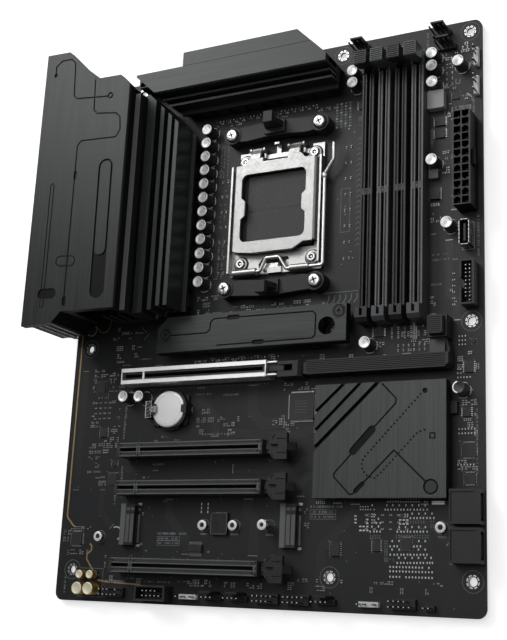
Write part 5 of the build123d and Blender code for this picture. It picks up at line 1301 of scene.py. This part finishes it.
# --- Storage sockets: pale stiffener at the rear, black nose, contacts and solder tails ---
storage = Builder("storage_socket_detail", "stiffener_grey", "black_moulding", "m2_pin", "tin")
mid = STORAGE_Y
for x in (47.5, 144.0):
    storage.box(x - 5.6, x - 2.2, mid - 11.0, mid + 11.0, 0.0, 2.4, "stiffener_grey", 0.15)
    storage.box(x - 5.2, x - 2.0, mid - 11.0, mid + 11.0, 2.0, 4.42, "stiffener_grey", 0.15)
    storage.box(x - 2.0, x - 1.5, mid - 10.9, mid + 10.9, 4.2, 4.44, "black_moulding", 0.05)
    for k in range(0, 74, 2):
        y = mid - 9.4 + 0.25 * k
        if 5.6 < y - mid < 7.6:     # the key
            continue
        storage.box(x - 1.5, x + 0.6, y, y + 0.3, 4.2, 4.44, "m2_pin", 0.04)
        storage.box(x + 1.3, x + 3.4, y, y + 0.3, 4.2, 4.42, "m2_pin", 0.04)
        storage.box(x + 3.6, x + 4.6, y, y + 0.28, 0.0, 0.3, "tin", 0.04)
    storage.box(x - 1.6, x + 3.5, mid + 5.5, mid + 7.5, 4.2, 4.46, "black_moulding", 0.06)
    for side in (-1, 1):
        y = mid + side * 11.0
        storage.box(x + 3.3, x + 5.4, y - 0.7, y + 0.7, 0.0, 0.35, "tin", 0.06)
for k in range(36):
    storage.box(151.6, 152.4, 133.4 + 0.5 * k, 133.7 + 0.5 * k, 0.0, 0.3, "tin", 0.04)
storage.done("black_moulding")

# --- Socket screws: four low with star recesses, four tall with cross recesses ---
LOW_SCREWS = ((108.2, 241.8), (151.0, 241.8), (108.0, 182.0), (151.0, 182.0))
TALL_SCREWS = ((101.6, 167.1), (155.6, 167.1), (101.6, 257.1), (155.6, 257.1))
SHANK_R = 1.38
screws = Builder("socket_screw_detail", "screw_steel", "recess", "screw_edge", "hole_dark")


def star(x, y, radius):
    """Six-pointed outline."""
    radii = [radius * (1 if i % 2 else 0.72) for i in range(12)]
    return [(x + r * math.cos(math.pi * i / 6), y + r * math.sin(math.pi * i / 6))
            for i, r in enumerate(radii)]


def cross(x, y):
    """Cross outline turned 0.35 radians, from the corners of one arm."""
    out = []
    for quarter in range(4):
        a = math.pi / 2 * quarter + 0.35
        for u, v in ((1.75, -0.36), (1.75, 0.36), (0.42, 0.42)):
            out.append((x + u * math.cos(a) - v * math.sin(a),
                        y + u * math.sin(a) + v * math.cos(a)))
    return out


def recessed_head(x, y, radius, hole, z0, z1):
    """Flat-topped ring between a circle and the recess outline."""
    angles = [math.atan2(py - y, px - x) for px, py in hole]
    rim = [(x + radius * math.cos(a), y + radius * math.sin(a)) for a in angles]
    points, faces = [], []
    n = len(hole)
    for p, q in zip(rim, hole):
        points += [(*p, z0), (*p, z1), (*q, z1), (*q, z0)]
    for i in range(n):
        a, b = 4 * i, 4 * ((i + 1) % n)
        faces += [(a, b, b + 1, a + 1), (a + 1, b + 1, b + 2, a + 2),
                  (a + 2, b + 2, b + 3, a + 3), (a + 3, b + 3, b, a)]
    screws.add(points, faces)


for x, y in LOW_SCREWS:
    screws.lathe(x, y, [(0, 1.85), (3.6, 1.85), (3.75, 2.0), (3.75, 2.55), (3.6, 2.7),
                        (2.62, 2.86)], "screw_edge", 40)
    screws.lathe(x, y, [(2.62, 2.84), (2.6, 3.5), (2.4, 3.95), (2.2, 4.12)], n=40)
    recessed_head(x, y, 2.2, star(x, y, 1.6), 3.3, 4.14)
    # painted shade: a near-black floor in the star recess
    screws.prism(star(x, y, 1.62), 2.9, 3.32, "hole_dark")
    screws.cyl(x, y, 0.55, 3.3, 3.6, n=14)
    # painted shadows: a dark ring in the crease under the head, and one round the flange on the
    # frame
    screws.ring(x, y, 2.58, 2.86, 2.78, 2.95, "hole_dark", 36)
    screws.ring(x, y, 3.76, 4.4, 1.82, 2.06, "hole_dark", 36)
    screws.cyl(x, y, SHANK_R, -1.2, 2.2)
for x, y in TALL_SCREWS:
    screws.lathe(x, y, [(0, 8.05), (3.8, 8.05), (3.9, 8.2), (3.9, 8.7), (3.7, 9.3), (3.3, 9.66)],
                 "screw_edge", 40)
    screws.lathe(x, y, [(3.3, 9.64), (3.1, 9.74), (2.4, 9.9), (1.9, 9.97)], n=40)
    # painted shadow: a dark ring round the head
    screws.ring(x, y, 3.0, 3.26, 9.6, 9.79, "hole_dark", 36)
    recessed_head(x, y, 1.95, cross(x, y), 8.9, 9.98)
    # painted shade: a near-black floor in the cross recess
    screws.prism(cross(x, y), 8.6, 8.95, "hole_dark")
    screws.cyl(x, y, SHANK_R, -1.2, 8.3)
screws.done("screw_steel", replaces="socket_screws", smooth=35)


# --- Load lever: a bent wire with a collar on its long arm ---
def rounded(points, radius, steps=7):
    """A path with its corners rounded by curves of about this radius."""
    out = [Vector(points[0])]
    for a, b, c in zip(points, points[1:], points[2:]):
        b = Vector(b)
        back, on = Vector(a) - b, Vector(c) - b
        limit = min(back.length, on.length) * 0.45
        back.normalize()
        on.normalize()
        cut = min(radius / math.tan(back.angle(on) / 2), limit)
        p, q = b + back * cut, b + on * cut
        for k in range(steps + 1):
            s = k / steps
            out.append(p * (1 - s) ** 2 + b * 2 * s * (1 - s) + q * s ** 2)
    return out + [Vector(points[-1])]


LEVER_Z = 4.3
ARM_X, ARM_Z = 158.0, LEVER_Z + 0.4
lever = Builder("load_lever_wire", "lever_steel", body="load_lever")
lever.tube(rounded([
    (104.2, 176.5, LEVER_Z), (120.9, 176.5, LEVER_Z), (124.6, 183.4, LEVER_Z + 0.7),
    (132.6, 183.4, LEVER_Z + 0.7), (136.7, 176.5, LEVER_Z), (ARM_X, 176.5, LEVER_Z),
    (ARM_X, 227.6, ARM_Z), (163.6, 234.6, LEVER_Z + 2.0), (164.2, 243.4, LEVER_Z + 3.4)], 1.6),
    radius=0.99, n=20)
# collar stations: radius, offset along y
COLLAR = [(1.0, -1.9), (1.3, -1.7), (1.55, -1.1), (1.6, -0.3), (1.6, 0.5), (1.45, 1.0), (1.0, 1.4)]
COLLAR_Y, n = 227.0, 24
collar_points = [(x, COLLAR_Y + shift, z)
                 for radius, shift in COLLAR for x, z in circle(ARM_X, ARM_Z, radius, n)]
end = n * (len(COLLAR) - 1)
collar_faces = [(a + (i + 1) % n, a + i, a + n + i, a + n + (i + 1) % n)
                for a in range(0, end, n) for i in range(n)]
collar_faces += [tuple(range(n)), tuple(range(end + n - 1, end - 1, -1))]
lever.add(collar_points, collar_faces)
lever.done("nickel", replaces="load_lever", smooth=45)

# --- Dark patches of painted shadow under the lever, round the lower tongue of the socket frame ---
lever_shadow = Builder("frame_lever_shadow", "hole_dark", "screw_steel")
lever_shadow.prism([(118.6, 181.0), (120.9, 184.3), (136.2, 184.3), (137.0, 182.6), (131.5, 180.9),
             (121.1, 181.5), (120.2, 177.6), (119.4, 177.6)], 1.9, 2.0)
lever_shadow.prism([(131.3, 181.2), (133.6, 181.4), (132.8, 177.6), (131.4, 177.6)], 1.9, 2.02)
lever_shadow.box(121.4, 131.0, 176.9, 181.2, 1.9, 2.7, "screw_steel", 0.25)
lever_shadow.done("nickel")

# --- Fin beside the rear cover, with a pale, faintly glowing top strip of painted light ---
inner_fin = Builder("inner_fin", "fin_alu", "fin_pale")
inner_fin.box(50.2, 53.4, 153.2, 281.4, 11.6, 32.02, "fin_alu", 0.1)
inner_fin.box(50.25, 53.35, 153.3, 281.3, 32.0, 32.2, "fin_pale")
inner_fin.done("black_aluminium")

# --- Bare solder lands by the front edge ---
# half x, half y, top, chamfer of each kind of land
LAND_KINDS = ((0.3, 0.3, 0.2, 0.14), (0.32, 0.48, 0.26, 0.16), (0.58, 0.36, 0.3, 0.16))
# rows of lands: kind, y, then each x
LAND_ROWS = [
    (0, 54.6, 195.0, 196.4, 197.7, 199.0, 200.4, 201.7, 203.0, 204.3),
    (0, 54.5, 205.6, 206.9, 208.2, 209.6),
    (0, 53.2, 195.1, 196.4, 197.7, 199.1, 200.4, 201.7, 203.0, 204.3, 205.6, 207.0, 208.3, 209.6,
     210.9, 213.9, 215.2),
    (1, 51.5, 186.9, 194.6, 197.7, 201.0, 204.4, 207.6, 210.9, 214.2),
    (1, 49.4, 193.8, 195.2, 196.8, 198.5, 200.1, 201.9, 203.4, 205.3, 206.7, 208.6, 210.2, 211.7,
     213.3),
    (1, 49.5, 215.2), (0, 50.8, 180.7, 182.1, 183.4, 184.7),
    (0, 49.4, 180.8, 182.1, 183.4, 184.7, 186.1, 188.0),
    (1, 47.5, 207.6, 211.0), (1, 47.6, 214.2, 217.6), (0, 47.2, 203.9, 205.2, 186.9, 188.1),
    (0, 45.9, 186.9, 188.1), (0, 46.0, 203.9, 205.2), (1, 45.4, 206.8, 208.6, 210.1),
    (1, 45.5, 211.8, 213.3, 215.1, 216.7, 218.5), (2, 44.5, 201.5, 203.4, 205.2),
    (2, 42.6, 201.5, 203.4, 205.2), (1, 41.1, 201.1, 204.3), (1, 41.2, 207.6, 211.0, 214.3),
    (1, 38.9, 200.1, 202.1, 203.6), (1, 39.0, 205.3, 206.8, 208.7, 210.1, 211.8),
    (1, 39.1, 213.3, 215.2), (1, 34.4, 197.6), (1, 34.5, 201.1, 204.4, 207.7),
    (1, 34.6, 211.1, 214.3), (1, 31.9, 196.6), (1, 32.0, 198.6, 200.2, 202.1),
    (1, 32.1, 203.7, 205.4, 206.9, 208.7), (1, 32.2, 210.2, 211.9), (1, 30.4, 197.6),
    (1, 30.5, 201.2, 204.3), (1, 30.6, 207.8), (1, 30.7, 210.9, 214.3), (1, 28.0, 196.7, 198.7),
    (1, 28.1, 200.3, 202.2, 203.6), (1, 28.2, 205.4, 206.9, 208.7, 210.2),
    (1, 28.3, 211.9, 213.5, 215.2), (1, 26.6, 201.1, 204.3), (1, 26.7, 207.8),
    (1, 26.8, 211.0, 214.3), (1, 26.9, 217.2), (1, 24.2, 200.3), (1, 24.3, 202.1, 203.6, 205.4),
    (1, 24.4, 206.9, 208.7, 210.2), (1, 24.5, 211.9, 213.4), (1, 24.6, 215.3, 216.6, 217.9),
    (2, 46.2, 178.2), (2, 44.6, 178.3, 184.5), (2, 43.0, 178.3), (2, 42.7, 184.5),
    (2, 41.2, 180.9, 182.7, 184.6), (2, 39.3, 181.0, 182.7, 184.6), (1, 45.0, 190.3),
    (1, 42.9, 191.3, 189.3), (0, 44.4, 187.0, 188.2), (0, 43.0, 187.0, 188.2), (1, 41.3, 190.4),
    (1, 41.2, 187.0), (1, 38.8, 186.1), (1, 38.9, 188.1, 189.6, 191.3)]
# rows of printed double ticks: y, then each x
TICK_ROWS = [
    (37.1, 199.5), (37.2, 200.8, 202.2, 203.5, 204.9, 206.2, 207.5),
    (37.3, 208.9, 210.2, 211.5, 212.8, 214.2, 215.5),
    (36.1, 199.5, 200.9, 202.2, 203.5, 204.9, 206.2),
    (36.2, 207.6, 208.9, 210.2, 211.5, 212.9, 214.2), (36.3, 215.5), (36.8, 186.2, 187.4),
    (36.9, 188.6, 189.7, 190.9), (35.8, 186.2, 187.4, 188.6, 189.8), (35.9, 191.0),
    (44.0, 206.7, 208.1, 209.4, 210.7, 212.0, 213.4),
    (43.2, 206.7, 208.1, 209.4, 210.7, 212.1, 213.4), (47.2, 184.0, 185.0, 185.9),
    (46.2, 184.0, 185.0, 185.9), (47.1, 199.7, 200.7, 201.8, 202.8), (46.1, 200.8, 201.9, 203.0),
    (40.6, 210.8), (40.7, 212.0, 213.1), (43.9, 217.1, 218.2), (42.2, 217.1, 218.2),
    (41.1, 217.1, 218.3), (26.0, 196.4, 198.2), (25.0, 198.4), (34.4, 193.8, 194.8),
    (33.2, 193.8, 194.9), (31.9, 193.8, 194.9), (30.7, 193.9, 194.9), (29.7, 193.9),
    (29.8, 194.9), (28.9, 193.9, 194.9), (27.8, 193.9), (27.9, 194.9), (26.4, 193.9, 195.0),
    (25.6, 193.9, 195.0), (24.9, 194.0, 195.0)]
lands = Builder("solder_lands", "solder", "silk_dim", "tin_dim")


def off_chips(x, y):
    return all(abs(x - cx) > a / 2 + 0.5 or abs(y - cy) > b / 2 + 0.5 for cx, cy, a, b, _ in CHIPS)


for kind, y, *row in LAND_ROWS:
    half_x, half_y, top, chamfer = LAND_KINDS[kind]
    for x in row:
        if off_chips(x, y):
            lands.block(x, y, half_x, half_y, SUNK, top, "solder", chamfer)
# the pattern carries on towards the lower edge
rng = random.Random(77)
for j in range(3):
    for i in range(14):
        x, y = 196.7 + 1.62 * i, 22.3 - 2.0 * j - (0.6 if j == 2 else 0.0)
        if free(x, y, 0.4, 0.6) and rng.random() < 0.85:
            lands.block(x, y, 0.32, 0.46, SUNK, 0.26, "solder", 0.16)
for y, *row in TICK_ROWS:
    for x in row:
        if off_chips(x, y):
            lands.block(x, y, 0.16, 0.34, SUNK, INK_TOP, "silk_dim")
            lands.box(x + 0.28, x + 0.46, y - 0.34, y + 0.1, SUNK, INK_TOP, "silk_dim")
# long rows under the upper heatsink and above the first expansion slot
for i in range(30):
    x = 86.0 + 2.2 * i
    lands.box(x - 0.3, x + 0.3, 270.9, 271.6, SUNK, 0.24, "solder" if i % 3 else "tin_dim", 0.14)
for i in range(26):
    x = 82.0 + 2.0 * i
    lands.box(x - 0.24, x + 0.24, 129.4, 130.0, SUNK, 0.2, "solder" if i % 2 else "tin_dim", 0.12)
for x0, y0, count_x, count_y in ((230.4, 113.0, 5, 3), (231.0, 85.6, 6, 2), (230.4, 70.6, 6, 1),
                                 (229.6, 129.4, 4, 3)):
    for i in range(count_x):
        for j in range(count_y):
            x, y = x0 + 1.55 * i, y0 + 2.1 * j
            if free(x, y, 0.4, 0.5):
                lands.block(x, y, 0.28, 0.4, SUNK, 0.24, "solder", 0.14)
lands.done("laminate")

# --- Wide package with leads above and below, and a pale strip nearer the front edge ---
wide = Builder("wide_package", "chip_black", "tin_dim", "light_plastic", "tin")
wide.box(84.4, 92.4, 27.2, 31.0, 0.1, 1.3)
wide.box(84.5, 92.3, 27.3, 30.9, 1.2, 1.5, "chip_black", 0.12)
for k in range(13):
    x = 84.9 + 0.58 * k
    for y0, y1, foot0, foot1 in ((30.9, 31.5, 31.3, 32.6), (26.7, 27.3, 25.0, 26.9)):
        wide.box(x - 0.17, x + 0.17, y0, y1, 0.5, 0.8, "tin_dim", 0.05)
        wide.box(x - 0.17, x + 0.17, foot0, foot1, 0.0, 0.3, "tin_dim", 0.05)
wide.box(218.0, 224.6, 51.6, 53.5, 0.0, 2.0, "light_plastic", 0.25)
wide.box(218.5, 224.1, 51.9, 52.25, 1.9, 2.1, "tin", 0.05)
wide.box(218.5, 224.1, 52.85, 53.2, 1.9, 2.1, "tin", 0.05)
wide.done("chip_black")

# --- Rubber rest with a moulded dimple ---
rest = Builder("module_rest", "pad_black", "hole_dark", "stiffener_grey")
rest.box(97.55, 107.25, 36.35, 47.45, 0.0, 2.26, "pad_black", 0.35)
rest.arc(100.9, 41.2, 2.0, 2.35, 60, 300, 2.2, 2.34, "pad_black", 20)
# painted shade: a near-black disc in the dimple
rest.cyl(100.9, 41.2, 1.9, 2.2, 2.29, "hole_dark", 28)
rest.box(99.6, 103.0, 47.4, 47.9, 0.0, 0.5, "stiffener_grey", 0.1)
rest.box(104.0, 106.4, 47.4, 47.9, 0.0, 0.5, "stiffener_grey", 0.1)
rest.done("black_moulding")

# --- Post collars ---
collars = Builder("standoff_collars", "solder", "hole_dark", "screw_steel", "recess")
for x, y in SHORT_POSTS:
    collars.lathe(x, y, [(1.25, 2.36), (2.3, 2.36), (2.62, 2.42), (2.62, 2.52), (2.4, 2.64),
                         (1.45, 2.66), (1.25, 2.5), (1.25, 2.36)], "solder", 36)
    # painted shade: a near-black plug fills the post's hole
    collars.lathe(x, y, [(0, 0.9), (0.98, 0.9), (0.98, 2.30), (1.26, 2.42), (1.26, 2.50),
                         (0.9, 2.44), (0, 2.42)], "hole_dark", 24)
# the tall post has a star recess, its floor painted dark as shade
collars.lathe(*TALL_POST, [(1.15, 8.82), (2.45, 8.82), (2.62, 8.9), (2.62, 9.0), (2.4, 9.1),
                           (1.15, 9.1), (1.15, 8.82)], "solder", 36)
collars.prism(star(*TALL_POST, 1.2), 8.78, 8.98, "recess")
collars.done("screw_steel", smooth=35)

# --- Bright upright edges at the lower end of the rear cover, with a boss and ring ---
corner = Builder("rear_corner_detail", "port_shell", "silk", "tin")
for x, y1 in ((-1.5, 146.1), (3.4, 146.1), (8.4, 146.1), (13.6, 147.0)):
    corner.box(x, x + 0.45, 145.35, y1, 12.4, 41.6)
corner.lathe(7.2, 153.2, [(0, 0.0), (2.3, 0.0), (2.5, 0.3), (2.5, 2.6), (2.3, 3.0), (1.5, 3.05),
                          (1.4, 2.4), (0, 2.35)], "tin", 32)
corner.ring(9.6, 152.2, 3.0, 3.5, SUNK, INK_TOP, "silk", 36)
corner.done("port_steel", smooth=35)

# --- Floor: pale, glowing to the camera only ---
FLOOR_GLOW = 0.62
FLOOR_GAP = 0.0006
bpy.ops.mesh.primitive_plane_add(size=6, location=(0.1, 0.1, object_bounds()[0][2] - FLOOR_GAP))
floor = bpy.context.object
floor.name = "floor"
floor_material = bpy.data.materials.new("floor_pale")
nodes = Nodes(floor_material)
diffuse = nodes.node("BsdfDiffuse", {0: (0.8, 0.8, 0.8)})
glow = nodes.node("Emission", {"Strength": FLOOR_GLOW})
seen = nodes.node("LightPath").outputs["Is Camera Ray"]
nodes.fill(glow, {"Strength": nodes.times(seen, FLOOR_GLOW)})
both = nodes.node("AddShader", {0: diffuse.outputs[0], 1: glow.outputs[0]})
nodes.node("OutputMaterial", {0: both.outputs[0]})
floor.data.materials.append(floor_material)

# --- World: white to the camera, a dim cool fill for lighting ---
world = bpy.data.worlds.new("studio")
bpy.context.scene.world = world
nodes = Nodes(world)
fill_light = nodes.node("Background", {0: (0.95, 0.97, 1.0), 1: 0.10})
backdrop = nodes.node("Background", {0: (1, 1, 1), 1: 1.0})
seen = nodes.node("LightPath").outputs["Is Camera Ray"]
blend = nodes.node("MixShader", {0: seen, 1: fill_light.outputs[0], 2: backdrop.outputs[0]})
nodes.node("OutputWorld", {0: blend.outputs[0]})

# --- Lights, all aimed at one point over the board ---
AIM = Vector((0.11, 0.14, 0.0))


def area_light(name, toward, distance, size, power):
    data = bpy.data.lights.new(name, "AREA")
    data.energy = power
    data.size = size
    light = bpy.data.objects.new(name, data)
    toward = Vector(toward).normalized()
    light.location = AIM + toward * distance
    light.rotation_euler = (-toward).to_track_quat("-Z", "Y").to_euler()
    bpy.context.scene.collection.objects.link(light)


area_light("key", toward=(-0.60, 0.75, 0.85), distance=1.6, size=0.8, power=11.0)
area_light("top_soft", toward=(0.05, 0.25, 1.0), distance=1.7, size=1.1, power=7.5)
area_light("side", toward=(0.9, 0.25, 0.55), distance=1.6, size=0.7, power=1.6)
area_light("front", toward=(0.2, -1.0, 0.45), distance=1.8, size=0.8, power=1.0)

# --- Camera: looks down from beyond the lower front corner ---
CAMERA_AT = (0.38524, -0.01411, 0.5225)
camera_data = bpy.data.cameras.new("camera")
camera = bpy.data.objects.new("camera", camera_data)
bpy.context.scene.collection.objects.link(camera)
forward = Vector((-0.448, 0.261, -0.855)).normalized()
right = Vector((0.890, 0.043, -0.453))
right = (right - forward * right.dot(forward)).normalized()
up = right.cross(forward)
camera.matrix_world = Matrix([(right[i], up[i], -forward[i], CAMERA_AT[i]) for i in range(3)]
                             + [(0, 0, 0, 1)])
camera_data.lens = 63.31
camera_data.sensor_width = 36.0
camera_data.sensor_fit = "AUTO"
camera_data.shift_x = -0.01766
camera_data.shift_y = -0.0317
camera_data.clip_start = 0.01
bpy.context.scene.camera = camera
bpy.context.scene.view_settings.view_transform = "Standard"
